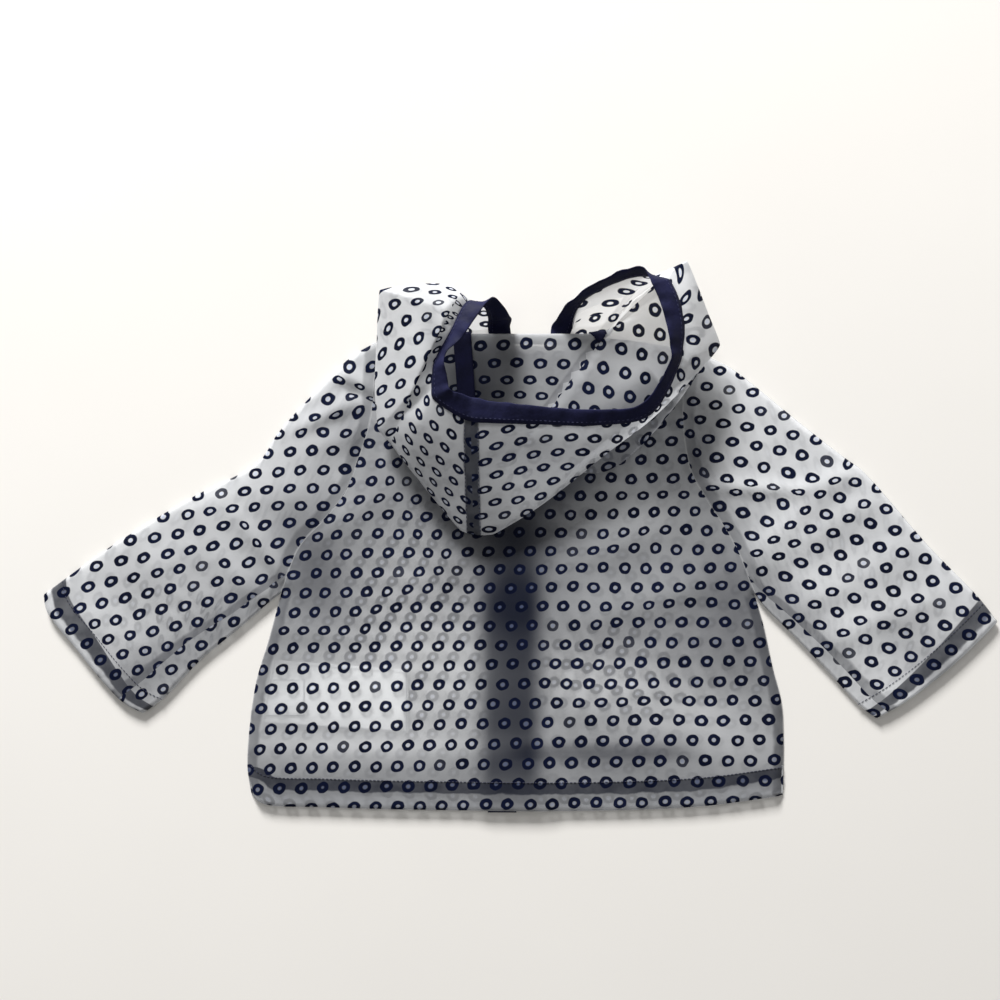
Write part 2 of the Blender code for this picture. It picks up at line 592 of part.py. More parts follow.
def make_seam_tape(grid, crown):
    """The tape over the centre seam, from the hood's own points, moved in."""
    tip = sum(HOOD_STEPS[:2]) + 1.5
    near_tip = ease(1.6 - np.abs(np.arange(grid.shape[1]) - tip) / 3)
    surface = inner_side(grid, (LAYER + TAPE_CREASE * near_tip)[None, :, None])[crown - 4:crown + 5]
    tape = []
    for k in range(1, surface.shape[1] + SEAM_TAPE_END):
        line = smooth_line(surface[:, k], 8)
        run = np.concatenate([[0.0], np.cumsum(np.linalg.norm(np.diff(line, axis=0), axis=-1))])
        width = SEAM_TAPE_WIDTH * (1 - TAPE_NARROWING * near_tip[k])
        wanted = run[len(line) // 2] + np.linspace(-0.5, 0.5, 5) * width
        tape.append(np.stack([np.interp(wanted, run, line[:, axis]) for axis in range(3)], axis=1))
    sheet("hood_seam_tape", np.array(tape), navy)


def make_neck_tape(grid):
    """The tape over the neck seam, under the roll of the hood; its end shows on the right."""
    first, last = (row * ROWS_BETWEEN for row in NECK_TAPE_ROWS)
    sheet("neck_tape", inner_side(grid, LAYER)[first:last, -3:], navy)


# ---------------------------------------------------------------- the coat

def make_coat():
    make_body()
    make_plackets()
    make_care_label()
    make_sleeve("left", LEFT_ARMHOLE, LEFT_SLEEVE_TOP, LEFT_SLEEVE_LOW, LEFT_CUFF)
    make_sleeve("right", RIGHT_ARMHOLE, RIGHT_SLEEVE_TOP, RIGHT_SLEEVE_LOW, RIGHT_CUFF)
    make_hood()


film = ("Printed film", FILM)
navy = ("Navy tape", NAVY)
label_white = ("White label", WHITE)
metal = ("Snap", METAL)
clear_scene()
garment = bpy.data.collections.new("Toddler raincoat")
bpy.context.scene.collection.children.link(garment)
make_coat()
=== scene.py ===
"""Looks of a toddler's see-through raincoat, laid face down with its hood folded back.

Places are in millimetres, as the pattern is drawn, and become metres where a mesh is made.
X runs across the coat, +Y from the hem to the neck, and Z up from the surface it lies on.
Each piece of film is one sheet of cloth; tapes and strips are thin closed bands.
"""
import math

import bmesh
import bpy
import numpy as np
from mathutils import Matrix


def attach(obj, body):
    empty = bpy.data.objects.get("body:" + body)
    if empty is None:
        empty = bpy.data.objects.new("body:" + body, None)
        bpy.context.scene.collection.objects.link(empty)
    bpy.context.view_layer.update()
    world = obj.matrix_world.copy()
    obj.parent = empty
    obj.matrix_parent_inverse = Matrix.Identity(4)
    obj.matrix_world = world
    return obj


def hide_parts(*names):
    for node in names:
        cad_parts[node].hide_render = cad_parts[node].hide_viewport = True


# ---------------------------------------------------------------- sizes, in mm

MM = 0.001
BASE_MIDDLE = (-0.45, -2.45, 0.0)      # the pattern's own place for the middle of the base
FRONT_HEIGHT = 0.5
BACK_HEIGHT = 4.4
SIDE_HEIGHT = 0.7                      # the back where it is sewn to the fronts
ARMHOLE_HEIGHT = 3.6
SLEEVE_EDGE_HEIGHT = 3.9
SLEEVE_EDGE_ROUND = 1.7
SLEEVE_EDGE_BULGE = 0.7
EDGE_RISE = 9.0
HOOD_CLEARANCE = 6.4
FRONT_LAYER_TOP = 2.4
NECK_LINE = 147.0
LAYER = 1.3
HEM_DEPTH = 22.0
HEM_TURN_UNDER = 9.5                   # the raw edge turned in under the hem
CUFF_TURN_UNDER = 12.5
HEM_DARKNESS = 0.64
CUFF_HEM_DEPTH = 18.0
FOLD_ROUND = 0.65                      # radius of a folded hem edge
SEAM_ALLOWANCE = 9.0

PLACKET_WIDTH = 22.0
OVER_PLACKET = dict(left=-26.0, end=-211.5, height=0.5)
UNDER_PLACKET = dict(left=-15.0, end=-207.5, height=2.9)
PLACKET_TOP = 141.0
PLACKET_HUMP = 1.2
HUMP_LEFT = (-42.0, -24.0)
HUMP_RIGHT = (34.0, 14.0)
HUMP_TOP = (-150.0, -186.0)
FRONT_CLIMB = (25.0, 8.0)
FOLDS_END = 128.0
FOLDS_FADE = 40.0
TAPE_THICKNESS = 0.9
BINDING_HALF = 0.55                    # half its thickness, one fold of tape
BINDING_LOWEST = 0.3
# Round the folded binding: share of its width from the film's edge, and how far out.
BINDING_SECTION = ((-0.12, 1.1), (0.15, 1.4), (0.45, 1.3), (0.75, 1.3), (0.96, 0.9), (1.02, 0.0),
                   (0.96, -0.9), (0.75, -1.3), (0.45, -1.3), (0.15, -1.4), (-0.12, -1.1))
FAR = 90.0                             # a distance that means: not near

# The printed rings, on the flat film.
RING_PITCH = 16.8                      # from ring to ring along a row
ROW_PITCH = 14.6
RING_OUTER = 4.95
RING_HOLE = 1.9
RING_FLATTENING = 1.16                 # the rings are printed a little wider than high

# ---------------------------------------------------------------- pattern outlines

LEFT_SIDE = [(-208, -197), (-211, -176), (-209, -143), (-204, -110), (-195, -80), (-185, -43)]
RIGHT_SIDE = [(201, -198), (201.5, -159), (200, -127), (193, -99), (186, -67), (179, -43)]
LEFT_ARMHOLE = [(-185, -43), (-171, -7), (-150, 16), (-136, 34), (-125, 62), (-116, 92), (-111, 150)]
RIGHT_ARMHOLE = [(179, -43), (167, -12), (156, 8), (143, 28), (130, 52), (124, 95), (128, 145)]
BACK_HEM = [(-208, -197), (-199, -204), (-150, -207), (-31, -209.5), (62, -209.5), (140, -206),
            (201, -198)]
LEFT_SHOULDER = [(-111, 150), (-66, 152.5)]
RIGHT_SHOULDER = [(64, 152.5), (128, 145)]
BACK_NECK = [(-66, 152.5), (-56, 147.2), (-8, 147.2), (46, 147.2), (64, 152.5)]
LEFT_FRONT_NECK = [(-66, 152.5), (-56, 146.0), (-43, 143.2), (-26.3, 141.5)]
RIGHT_FRONT_NECK = [(7.3, 141), (26, 142.8), (42, 145.4), (57, 150), (64, 152.5)]

LEFT_SLEEVE_TOP = [(-111, 151), (-130, 140), (-156, 115), (-187, 81), (-202, 59), (-256, 30),
                   (-320, -9), (-367, -43)]
LEFT_SLEEVE_LOW = [(-185, -43), (-194, -50), (-217, -70), (-246, -94), (-275, -124), (-290, -135)]
LEFT_CUFF = [(-367, -43), (-364, -57), (-342, -85), (-320, -112), (-305, -127), (-290, -135)]
RIGHT_SLEEVE_TOP = [(128, 146), (157, 133), (169, 125), (216, 87), (251, 60), (261, 53),
                    (314, -7), (351, -45), (366, -64)]
RIGHT_SLEEVE_LOW = [(179, -43), (187, -54), (205, -72), (232, -100), (260, -130), (272, -139)]
RIGHT_CUFF = [(366, -64), (332, -97), (296, -125), (272, -139)]

# How far in from its lower edge each sleeve's seam runs, at the armhole and at the cuff.
UNDERARM_SEAM = {"left": (14.0, 21.0), "right": (13.0, 9.0)}

SLEEVE_UPPER, SLEEVE_UNDER, SLEEVE_REST = 48, 40, 8      # points round each ring of a sleeve
PRINT_BREAK = (7.0, 5.0)               # the print doesn't meet across the underarm seam

CARE_LABEL = [(-191, -94), (-87, -102), (-87, -150), (-200, -143)]
SIZE_TAB = [(-193, -109), (-167, -109), (-167, -137), (-198, -137)]
LABEL_HEIGHT = 1.8

# Where the rows of print run on each panel: u and v are the distances along and across the
# rows at the panel's middle, their slopes in x and y, and their bows (xx, xy, yy) at a reach.
# The hood's places are those of its halves laid out flat, from the crown along the centre seam.
PRINTS = {
    "back": dict(middle=(0, -60), reach=200, u=(-0.4, 1.041, 0.031, -4.3, 15.5, -3.9),
                 v=(19.8, -0.016, 1.002, 1.0, 0.3, 11.4)),
    "left": dict(middle=(-240, 10), reach=100, u=(31.2, 0.948, 0.061, 3.8, -4.9, -3.9),
                 v=(44.3, -0.089, 1.005, 5.1, 5.0, -0.7)),
    "right": dict(middle=(250, -10), reach=100, u=(12.2, 0.898, -0.217, -0.3, 4.1, 5.3),
                  v=(17.1, 0.245, 0.974, -1.6, -10.3, 0.9)),
    "front_left": dict(middle=(-100, -31), reach=100, u=(0.0, 1.05, 0.0, 0, 0, 0),
                       v=(0.0, 0.0, 0.99, 0, 0, 0)),
    "front_right": dict(middle=(74, -115), reach=100, u=(0.0, 1.02, -0.127, 0, 0, 0),
                        v=(0.0, 0.125, 0.98, 0, 0, 0)),
    "hood_left": dict(middle=(-90, 130), reach=60, u=(-8.2, 0.38, 0.89, 13.8, -27.6, 9.9),
                      v=(-12.9, -1.10, 0.08, 22.7, 34.3, -29.1)),
    "hood_side": dict(middle=(-30, 70), reach=60, u=(-7.3, 1.62, 0.49, -24.2, -19.7, -0.6),
                      v=(-44.1, 0.62, 1.29, -8.6, -19.2, -13.7)),
    "hood_right": dict(middle=(40, 60), reach=60, u=(5.2, 0.93, -0.10, 0.7, -4.4, 6.8),
                       v=(-23.2, -0.06, 1.32, 3.8, -7.9, -1.4)),
    "right_lobe": dict(middle=(230, 60), reach=30, u=(19.3, -0.69, -0.42, -6.9, 6.1, -5.9),
                       v=(-2.0, 0.55, -0.55, -2.5, 0.6, -0.1)),
    "hood_inside": dict(middle=(130, -60), reach=60, u=(-3.8, 0.66, 0.68, -3.3, -4.5, 2.5),
                        v=(-12.8, 0.80, -0.69, -13.0, 18.0, -1.6)),
    "past_pleat": dict(middle=(180, 10), reach=60, u=(-4.4, 0.23, 1.00, -10.3, -0.1, 5.3),
                       v=(7.8, -0.84, 0.21, 0.6, -17.0, -3.0)),
    "front_wall": dict(middle=(230, -30), reach=30, u=(-3.5, -0.32, 1.17, 0.9, 2.8, 1.8),
                       v=(2.1, 1.01, 0.06, 1.0, -2.8, -1.9)),
    "plain": dict(middle=(0, 0), reach=60, u=(0, 1, 0, 0, 0, 0), v=(0, 0, 1, 0, 0, 0)),
}

# Soft folds of the upper layer: from and to, half width, and height (minus is a trough).
FOLDS = [
    # from           to            width height
    ((-142, 128), (-112, 110), 5, 3.2),
    ((-138, 115), (-108, 105), 6, -3.2),
    ((-170, 84), (-142, 98), 6, 2.6),
    ((-142, 98), (-116, 108), 7, 2.4),
    ((-152, 70), (-120, 84), 9, 1.6),
    ((-250, 22), (-176, 34), 14, 1.6),
    ((-216, 16), (-180, -34), 7, 2.8),
    ((-232, -18), (-196, -50), 10, 1.8),
    ((-300, -30), (-230, -4), 14, 1.0),
    ((-330, -60), (-280, -96), 12, 1.0),
    ((130, 96), (139, 48), 8, -2.2),
    ((140, 40), (214, 36), 6, 3.0),
    ((214, 36), (252, 52), 8, 2.0),
    ((176, -14), (256, 52), 9, 2.2),
    ((184, -22), (268, 28), 11, 2.0),
    ((206, -58), (290, -10), 13, 1.4),
    ((238, -78), (318, -46), 10, 1.8),
    ((58, -62), (150, -34), 14, 1.8),
    ((34, -20), (110, 10), 12, 1.6),
    ((70, 34), (140, 30), 12, 1.4),
    ((-150, 2), (-96, 40), 12, 1.6),
    ((-120, -60), (-60, -24), 16, 1.4),
    ((-104, 60), (-84, 20), 9, 1.6),
    ((-90, 20), (-56, -30), 12, 1.4),
    ((-186, -70), (-120, -78), 9, 1.2),
    ((40, -128), (130, -118), 13, 1.2),
]
TAKEN_UP = 1.1                         # print that a fold takes up, for each mm of its height

BACK_TOP = LEFT_SHOULDER + BACK_NECK[1:] + RIGHT_SHOULDER[1:]

# ---------------------------------------------------------------- the hood's sections

# Each section of the hood, from the film's edge round to the neck seam. steps is the number of
# rows to the next section. A turn in the outline is crisp, and so is the left side's ridge.
HOOD = [
    dict(rim=(-9, 151, 1.1), edge=(-22, 148, 1.1), seam=(-25, 143.0, .6), steps=6),
    dict(rim=(-9, 160, 1.7), edge=(-24, 160, 1.7), turn=(-30, 158.5, 1.4), seam=(-33, 143.5, .6)),
    dict(rim=(-9, 169, 20), edge=(-24, 168, 17), turn=(-38, 159, 2.0), seam=(-43, 144.8, .6)),
    dict(rim=(-23, 178, 46), edge=(-29, 175, 33), turn=(-51, 160, 2.2), seam=(-55, 148, .7)),
    dict(rim=(-32, 167, 50), edge=(-41, 175, 43), crest=(-45, 180, 45), fold=(-51.5, 188, 40),
         lay=(-57, 176, 22), turn=(-63, 160, 5), seam=(-68, 154.0, 1.3)),
    dict(rim=(-42, 152, 53), edge=(-51, 157, 47), crest=(-58, 168, 54), fold=(-105.5, 185, 40),
         lay=(-88, 176, 19), turn=(-71, 159, 7.5), seam=(-67, 154.0, 2.4), crisp=.3, ridge=.5),
    dict(rim=(-48, 144, 53), edge=(-56, 148, 47), crest=(-60, 156, 54.5), fold=(-107.5, 172, 35),
         lay=(-94, 163, 15), turn=(-69, 158.5, 8.5), seam=(-63, 152.8, 3.6), ridge=.4, steps=10),
    dict(rim=(-53, 138, 53.5), edge=(-61, 139, 46.5), crest=(-66, 143, 53), fold=(-109, 148, 29),
         lay=(-95, 143, 12.5), turn=(-66, 157, 9), seam=(-60, 151, 3.9), ridge=.4, steps=12),
    dict(rim=(-57, 132, 54), edge=(-65, 131, 46), crest=(-73, 129, 50), fold=(-111, 114, 24),
         lay=(-97, 120, 10), turn=(-62, 156, 9.5), seam=(-58, 149.4, 4.2), ridge=.4, steps=12),
    dict(rim=(-56, 121, 52), edge=(-66, 118, 45.5), crest=(-83, 108, 43), fold=(-108.5, 82, 20),
         lay=(-93, 104, 8.5), turn=(-59, 156, 9.3), seam=(-56, 149, 4.3), crisp=.4, ridge=.4, steps=6),
    dict(rim=(-55, 116, 51), edge=(-66, 112, 45.2), crest=(-89, 92, 34), fold=(-100.5, 73, 20),
         lay=(-87, 98, 8), turn=(-57, 156, 9.1), seam=(-55.5, 148.8, 4.3), crisp=.4, ridge=.5,
         steps=12),
    dict(rim=(-54, 111, 50), edge=(-65, 105, 45), crest=(-78, 84, 38), fold=(-89, 57.5, 20),
         lay=(-76, 92, 7.4), turn=(-54, 156, 9), seam=(-54, 148.4, 4.4), steps=16),
    dict(rim=(-45, 107, 44.5), edge=(-46, 92, 41.5), crest=(-47, 60, 33), fold=(-46.5, 6, 15),
         tuck=(-47, 8, 9), flap=(-46, 31, 6.8), lay=(-47, 72, 6.8), turn=(-49, 156, 8.7),
         seam=(-49, 148.3, 4.4), crisp=.35, steps=6),
    dict(rim=(-37, 105, 42), edge=(-38, 89, 40), crest=(-38, 59, 33), fold=(-36.5, 2.5, 15),
         tuck=(-36.5, 4.5, 9), flap=(-38, 30, 6.8), lay=(-40, 70, 6.8), turn=(-46, 156, 8.5),
         seam=(-46, 148.3, 4.4), steps=6),
    dict(rim=(-27, 103, 41.8), edge=(-27, 88, 39.6), crest=(-26, 59, 32.6), fold=(-22, 3, 15.3),
         tuck=(-22, 5, 9), flap=(-27, 31, 6.8), lay=(-29, 71, 6.8), turn=(-38, 156, 8.5),
         seam=(-38, 148.3, 4.4), crisp=.35),
    dict(rim=(6, 99, 41), edge=(6, 87, 37), crest=(8, 66, 31), fold=(12, 23, 19),
         lay=(8, 83, 6.8), turn=(-4, 156, 8.5), seam=(-4, 148.3, 4.4)),
    dict(rim=(60, 96, 41), edge=(57, 86, 36), crest=(61, 75, 33), fold=(64, 64, 27),
         tuck=(58, 70, 17), flap=(62, 50, 9), lay=(50, 96, 7), turn=(30, 156, 8.5),
         seam=(30, 148.3, 4.4)),
    dict(rim=(88, 100, 46), edge=(94, 93, 39), crest=(98, 93, 37), fold=(101, 93, 33),
         tuck=(97, 98, 22), flap=(104, 84, 10.5), lay=(80, 118, 11), turn=(49, 156, 8.5),
         seam=(49, 149.2, 4.2)),
    dict(rim=(109, 132, 55), edge=(116, 131, 46), crest=(129, 136, 43), fold=(148.5, 145, 29),
         tuck=(140, 136, 22), flap=(127, 119, 15), lay=(105, 140, 13), turn=(61, 157, 8.5),
         seam=(58, 152.0, 3.8), crisp=.3),
    dict(rim=(106, 155, 57), edge=(118, 158, 48), crest=(128, 162, 45), fold=(138, 170, 36),
         lay=(107, 163, 20), turn=(68, 160, 8.5), seam=(65, 154.0, 3.0)),
    dict(rim=(100, 176, 57), edge=(113, 180, 49), crest=(121, 188, 47), fold=(129, 191, 41),
         lay=(110, 184, 27), turn=(73, 161.5, 8), seam=(67.5, 155.4, 2.3)),
    dict(rim=(95, 187, 56), edge=(107, 191, 48), crest=(113, 200, 46), fold=(122, 206, 43),
         lay=(103, 192, 32), turn=(72, 163, 7.5), seam=(68, 156, 1.8), crisp=.2),
    dict(rim=(86, 201, 52), edge=(86, 196, 40), turn=(62, 162, 3.4), seam=(59, 153.8, 1.0)),
    dict(rim=(36, 178, 29), edge=(45, 179, 22), turn=(42, 160, 2.2), seam=(42, 147.0, .6)),
    dict(rim=(23, 160, 1.7), edge=(37, 160, 1.7), turn=(37, 158.5, 1.4), seam=(37, 146.0, .6)),
    dict(rim=(22, 151, 1.1), edge=(34, 151, 1.1), seam=(33, 145.2, .6)),
]
HOOD_COLUMNS = ("edge", "crest", "fold", "tuck", "flap", "lay", "turn", "seam")
HOOD_STEPS = (9, 14, 8, 6, 8, 14, 6)
ROW_STEPS = [row.get("steps", 14) for row in HOOD[:-1]]
CROWN_ROW = 13
CROWN = sum(ROW_STEPS[:CROWN_ROW])
FOLD_CRISPNESS = 0.55                  # of the folds along the lobes' outlines
RIDGE = ((-53, 168), (-98, 74))        # along the left lobe, where the print breaks
RIGHT_PLEAT = ((60, 150), (26, 104))
PLEAT_HEIGHT = 4.0
PLEAT_WIDTH = 2.5
FOLD_DROP = 0.55
FOLD_RETURN = 0.10
NECK_TAPE_ROWS = (8, 18.1)
SEAM_TAPE_WIDTH = 11.5
SEAM_TAPE_INSIDE = 14.0                # it lies wider inside the mouth
NECK_TAPE_WIDTH = 6.0
NECK_TAPE_SHOWS = 16.0                 # how much more of it shows at the right neck point
NECK_TAPE_END = 12                     # rows of its folded end
LEFT_WALL, RIGHT_LOBE, RIGHT_WALL = 3.6, 17.5, 21.0     # sections where the print changes course
TIP_COLUMN = sum(HOOD_STEPS[:2]) + 4
PRINT_BREAK_COLUMN = sum(HOOD_STEPS[:4])
# The next three place painted shade on the hood: the flap, the strip folded back, and beside the pleat.
FLAP_COLUMNS = (29, 44)                # the layer under the tip that shows beside it
FOLDED_STRIP = (20.2, 21.0)            # sections of the strip folded back along the pleat
PLEAT_SHADE_WIDTH = 7.0
STITCH_RISE = 0.25                     # thread stands this much above the film


# ---------------------------------------------------------------- curves and surfaces

def smooth_line(points, pieces, crisp=None):
    """A curve through the points, with so many pieces between each two of them.

    crisp gives each point's share of the curve's usual softness: less than 1 turns tighter.
    """
    p = np.array(points, float)
    gap = np.maximum(np.linalg.norm(np.diff(p, axis=0), axis=1), 1e-6) ** 0.5
    knot = np.concatenate([[0.0], np.cumsum(gap)])
    slope = np.zeros_like(p)
    chord = np.diff(p, axis=0) / gap[:, None]
    slope[0] = chord[0]
    slope[-1] = chord[-1]
    for i in range(1, len(p) - 1):
        a, b = gap[i - 1], gap[i]
        slope[i] = (chord[i - 1] * b + chord[i] * a) / (a + b) * (1 if crisp is None else crisp[i])
    counts = [pieces] * (len(p) - 1) if np.isscalar(pieces) else list(pieces)
    line = [p[0]]
    for i, count in enumerate(counts):
        span = knot[i + 1] - knot[i]
        for k in range(1, count + 1):
            t = k / count
            line.append((2 * t**3 - 3 * t**2 + 1) * p[i] + (t**3 - 2 * t**2 + t) * span * slope[i]
                        + (3 * t**2 - 2 * t**3) * p[i + 1] + (t**3 - t**2) * span * slope[i + 1])
    return np.array(line)


def lengths(line):
    return np.concatenate([[0.0], np.cumsum(np.linalg.norm(np.diff(line, axis=0), axis=1))])


def at_lengths(line, wanted):
    """Points of a polyline at the given distances along it."""
    run = lengths(line)
    return np.stack([np.interp(wanted, run, line[:, k]) for k in range(line.shape[1])], axis=1)


def along(points, fractions):
    """Points at fractions of the length of the smooth curve through the given points."""
    fine = smooth_line(points, 16)
    return at_lengths(fine, np.array(fractions, float) * lengths(fine)[-1])


def shares(line):
    run = lengths(line)
    return run / run[-1]


def patch(start, end, low, high):
    """Fill four border curves: start and end run across, low and high run along."""
    u, v = shares(start)[None, :, None], shares(low)[:, None, None]
    corners = ((1 - u) * (1 - v) * start[0] + u * (1 - v) * start[-1]
               + (1 - u) * v * end[0] + u * v * end[-1])
    return ((1 - v) * start[None] + v * end[None] + (1 - u) * low[:, None] + u * high[:, None]
            - corners)


def ease(value):
    """0 below 0, 1 above 1, and a soft step between."""
    t = np.clip(value, 0, 1)
    return t * t * (3 - 2 * t)


def between(value, start, end):
    """A soft step from 0 at start to 1 at end."""
    return ease((value - start) / (end - start))


def band(value, low, high, soft):
    """1 from low to high, with soft ends."""
    return between(value, low - soft, low + soft) * between(value, high + soft, high - soft)


def unit(vectors):
    return vectors / np.maximum(np.linalg.norm(vectors, axis=-1, keepdims=True), 1e-9)


def distance_to(places, line):
    """Distance of each place from a polyline."""
    line = np.array(line, float)
    best = np.full(places.shape[:-1], np.inf)
    for a, b in zip(line[:-1], line[1:]):
        run = b - a
        t = np.clip(((places - a) @ run) / (run @ run), 0, 1)
        best = np.minimum(best, np.linalg.norm(places - (a + t[..., None] * run), axis=-1))
    return best


def normals(grid):
    """Unit normals at a grid's points: the mean of the faces that meet there."""
    faces = unit(np.cross(grid[1:, 1:] - grid[:-1, :-1], grid[:-1, 1:] - grid[1:, :-1]))
    total = np.zeros_like(grid)
    total[1:, 1:] += faces
    total[1:, :-1] += faces
    total[:-1, 1:] += faces
    total[:-1, :-1] += faces
    return unit(total)


def with_height(plan, height):
    return np.concatenate([plan, height[..., None]], axis=-1)


def evenly(line, count=48):
    return along(line, np.linspace(0, 1, count))


def joined(first, then):
    return list(first) + list(then)[1:]


# ---------------------------------------------------------------- heights of the cloth

SEWN_EDGES = [evenly(line) for line in (LEFT_SIDE, RIGHT_SIDE, LEFT_SHOULDER, RIGHT_SHOULDER)]
ARMHOLES = [evenly(line) for line in (LEFT_ARMHOLE, RIGHT_ARMHOLE)]
SIDES = SEWN_EDGES[:2]


def fold_height(places):
    """Height that the soft folds add to the upper layer."""
    height = np.zeros(places.shape[:-1])
    for start, end, width, rise in FOLDS:
        a, b = np.array(start, float), np.array(end, float)
        run = b - a
        t = np.clip(((places - a) @ run) / (run @ run), 0, 1)
        away = np.linalg.norm(places - (a + t[..., None] * run), axis=-1)
        fullness = 0.35 + 0.65 * np.sin(np.pi * (0.15 + 0.7 * t))
        height += rise * np.exp(-(away / width) ** 2) * fullness
    return height


def hem_hump(places):
    """The back is carried over both plackets where their hems are turned up."""
    x, y = places[..., 0], places[..., 1]
    return PLACKET_HUMP * between(x, *HUMP_LEFT) * between(x, *HUMP_RIGHT) * between(y, *HUMP_TOP)


def back_height(places):
    """The back: low along its seams, and level over the fronts inside them."""
    low = np.min([distance_to(places, line) for line in SEWN_EDGES], axis=0)
    arm = np.min([distance_to(places, line) for line in ARMHOLES], axis=0)
    base = SIDE_HEIGHT + (BACK_HEIGHT - SIDE_HEIGHT) * ease(low / EDGE_RISE + 0.25) * (low > 0.5)
    arm_height = ARMHOLE_HEIGHT + (BACK_HEIGHT - ARMHOLE_HEIGHT) * ease(arm / EDGE_RISE)
    inside = ease(low / EDGE_RISE) * between(places[..., 1], FOLDS_END, FOLDS_END - FOLDS_FADE)
    return np.minimum(base, arm_height) + fold_height(places) * inside + hem_hump(places)


def front_height(places):
    climb = between(places[..., 0], *FRONT_CLIMB) * (places[..., 0] > 0)
    return FRONT_HEIGHT + (UNDER_PLACKET["height"] - FRONT_HEIGHT) * climb


# ---------------------------------------------------------------- marks in the cloth, and its painted shade

def chart(places, panel):
    """Print coordinates, in rings and rows, of places on a panel."""
    p = PRINTS[panel]
    x, y = places[..., 0] - p["middle"][0], places[..., 1] - p["middle"][1]
    a, b = np.clip(x / p["reach"], -1.6, 1.6), np.clip(y / p["reach"], -1.6, 1.6)
    found = []
    for (start, in_x, in_y, xx, xy, yy), pitch in ((p["u"], RING_PITCH), (p["v"], ROW_PITCH)):
        found.append((start + in_x * x + in_y * y + xx * a * a + xy * a * b + yy * b * b) / pitch)
    return np.stack(found, axis=-1)


def taken_up(places):
    """How far the print is drawn aside where the soft folds take up the cloth."""
    moved = np.zeros(places.shape)
    for start, end, width, rise in FOLDS:
        a, b = np.array(start, float), np.array(end, float)
        length = np.linalg.norm(b - a)
        run = (b - a) / length
        side = np.array([-run[1], run[0]])
        away, t = (places - a) @ side / width, (places - a) @ run
        near = between(t, -width, width) * between(t, length + width, length - width)
        amount = abs(rise) * TAKEN_UP * np.tanh(away * 2) * np.exp(-(away / 3) ** 2) * near
        moved += amount[..., None] * side
    return moved


def printed(places, panel):
    """Print coordinates of places on the pattern."""
    return chart(places + taken_up(places) - np.array(BASE_MIDDLE[:2]), panel)


# Painted shade in the film's colour: for what lies close behind it, and for shadows, hollows and sides
# turned from the light.
# Each is an oval: middle, half sizes, its turn in degrees, and how dark (minus is painted light).
PAINTED_SHADE_AND_LIGHT = {
    "back": [
        ((-4, -26), (25, 44), 0, 0.37),
        ((-6, -120), (22, 40), 0, 0.10),
        ((-10, 2), (40, 16), 0, 0.22),
        ((34, 40), (40, 14), 36, 0.34),
        ((-58, 26), (16, 34), 35, 0.18),
        ((-160, -24), (26, 40), 20, 0.24),
        ((-140, -60), (34, 20), 0, 0.08),
        ((170, -60), (24, 60), 10, 0.08),
        ((60, -172), (70, 10), 0, 0.08),
        ((150, -80), (50, 30), -10, 0.08),
        ((160, -40), (30, 26), 0, 0.10),
        ((-100, -70), (60, 34), 0, -0.22),
        ((-60, -100), (50, 30), 0, -0.16),
        ((-130, -122), (90, 30), 0, -0.36),
        ((-110, -158), (110, 12), 0, -0.22),
        ((66, -110), (50, 22), 0, -0.22),
        ((130, -136), (60, 20), 0, -0.20),
        ((170, -160), (40, 16), 0, -0.14),
        ((100, 20), (40, 24), -10, -0.16),
        ((-90, -16), (40, 26), 0, -0.06),
    ],
    "left": [
        ((-166, 10), (28, 30), -40, 0.34),
        ((-128, 84), (24, 34), 0, 0.20),
        ((-190, -30), (34, 22), 40, 0.12),
        ((-230, -66), (40, 22), 40, 0.26),
        ((-290, -104), (44, 22), 40, 0.30),
        ((-250, -20), (50, 26), 30, 0.08),
        ((-140, 60), (30, 30), 0, 0.08),
    ],
    "right": [
        ((134, 60), (18, 46), 0, 0.42),
        ((160, -2), (24, 30), 30, 0.22),
        ((196, -46), (30, 18), -40, 0.30),
        ((230, -84), (34, 18), -40, 0.20),
        ((310, -92), (50, 22), -40, 0.20),
        ((180, 24), (50, 12), -10, 0.10),
    ],
    "hood": [
        ((-60, 40), (50, 26), -40, 0.16),
        ((10, 40), (60, 26), 20, 0.08),
        ((2, 66), (46, 20), 8, 0.22),
        ((84, 84), (40, 14), 35, 0.08),
        ((-64, 150), (8, 34), 12, 0.18),
        ((-30, 78), (20, 20), 0, 0.06),
        ((40, 84), (50, 20), 10, -0.10),
        ((-90, 130), (24, 40), 0, 0.02),
    ],
    "inside": [
        ((-34, 112), (26, 30), 0, 0.50),
        ((-10, 140), (40, 12), 0, 0.22),
        ((40, 112), (40, 26), 0, 0.16),
        ((86, 190), (30, 22), 30, -0.14),
        ((96, 128), (36, 36), 0, -0.16),
    ],
}
# Painted shade over the whole of each piece, under the spots.
PAINTED_BASE_SHADE = {"back": 0.32, "left": 0.03, "right": -0.04, "hood": 0.02, "inside": 0.14}

# Where the film touches what lies under it, and shows it more clearly.
TOUCHING = {
    "back": [
        ((-72, -30), (46, 34), 0, 1.2),
        ((-96, -62), (46, 40), 0, 1.2),
        ((-62, 10), (30, 30), 0, 0.6),
        ((-120, -122), (90, 34), 0, 1.0),
        ((62, -94), (66, 28), 0, 1.2),
        ((110, -110), (70, 20), 0, 0.5),
        ((60, -150), (60, 30), 0, 0.3),
    ],
    "left": [((-300, -40), (60, 40), 0, 0.3), ((-250, -60), (60, 24), 0, 0.5)],
    "right": [((300, -70), (50, 40), 0, 0.4), ((230, 0), (60, 40), 0, 0.3)],
    "hood": [],
    "inside": [((70, 180), (40, 20), 30, 0.8)],
}


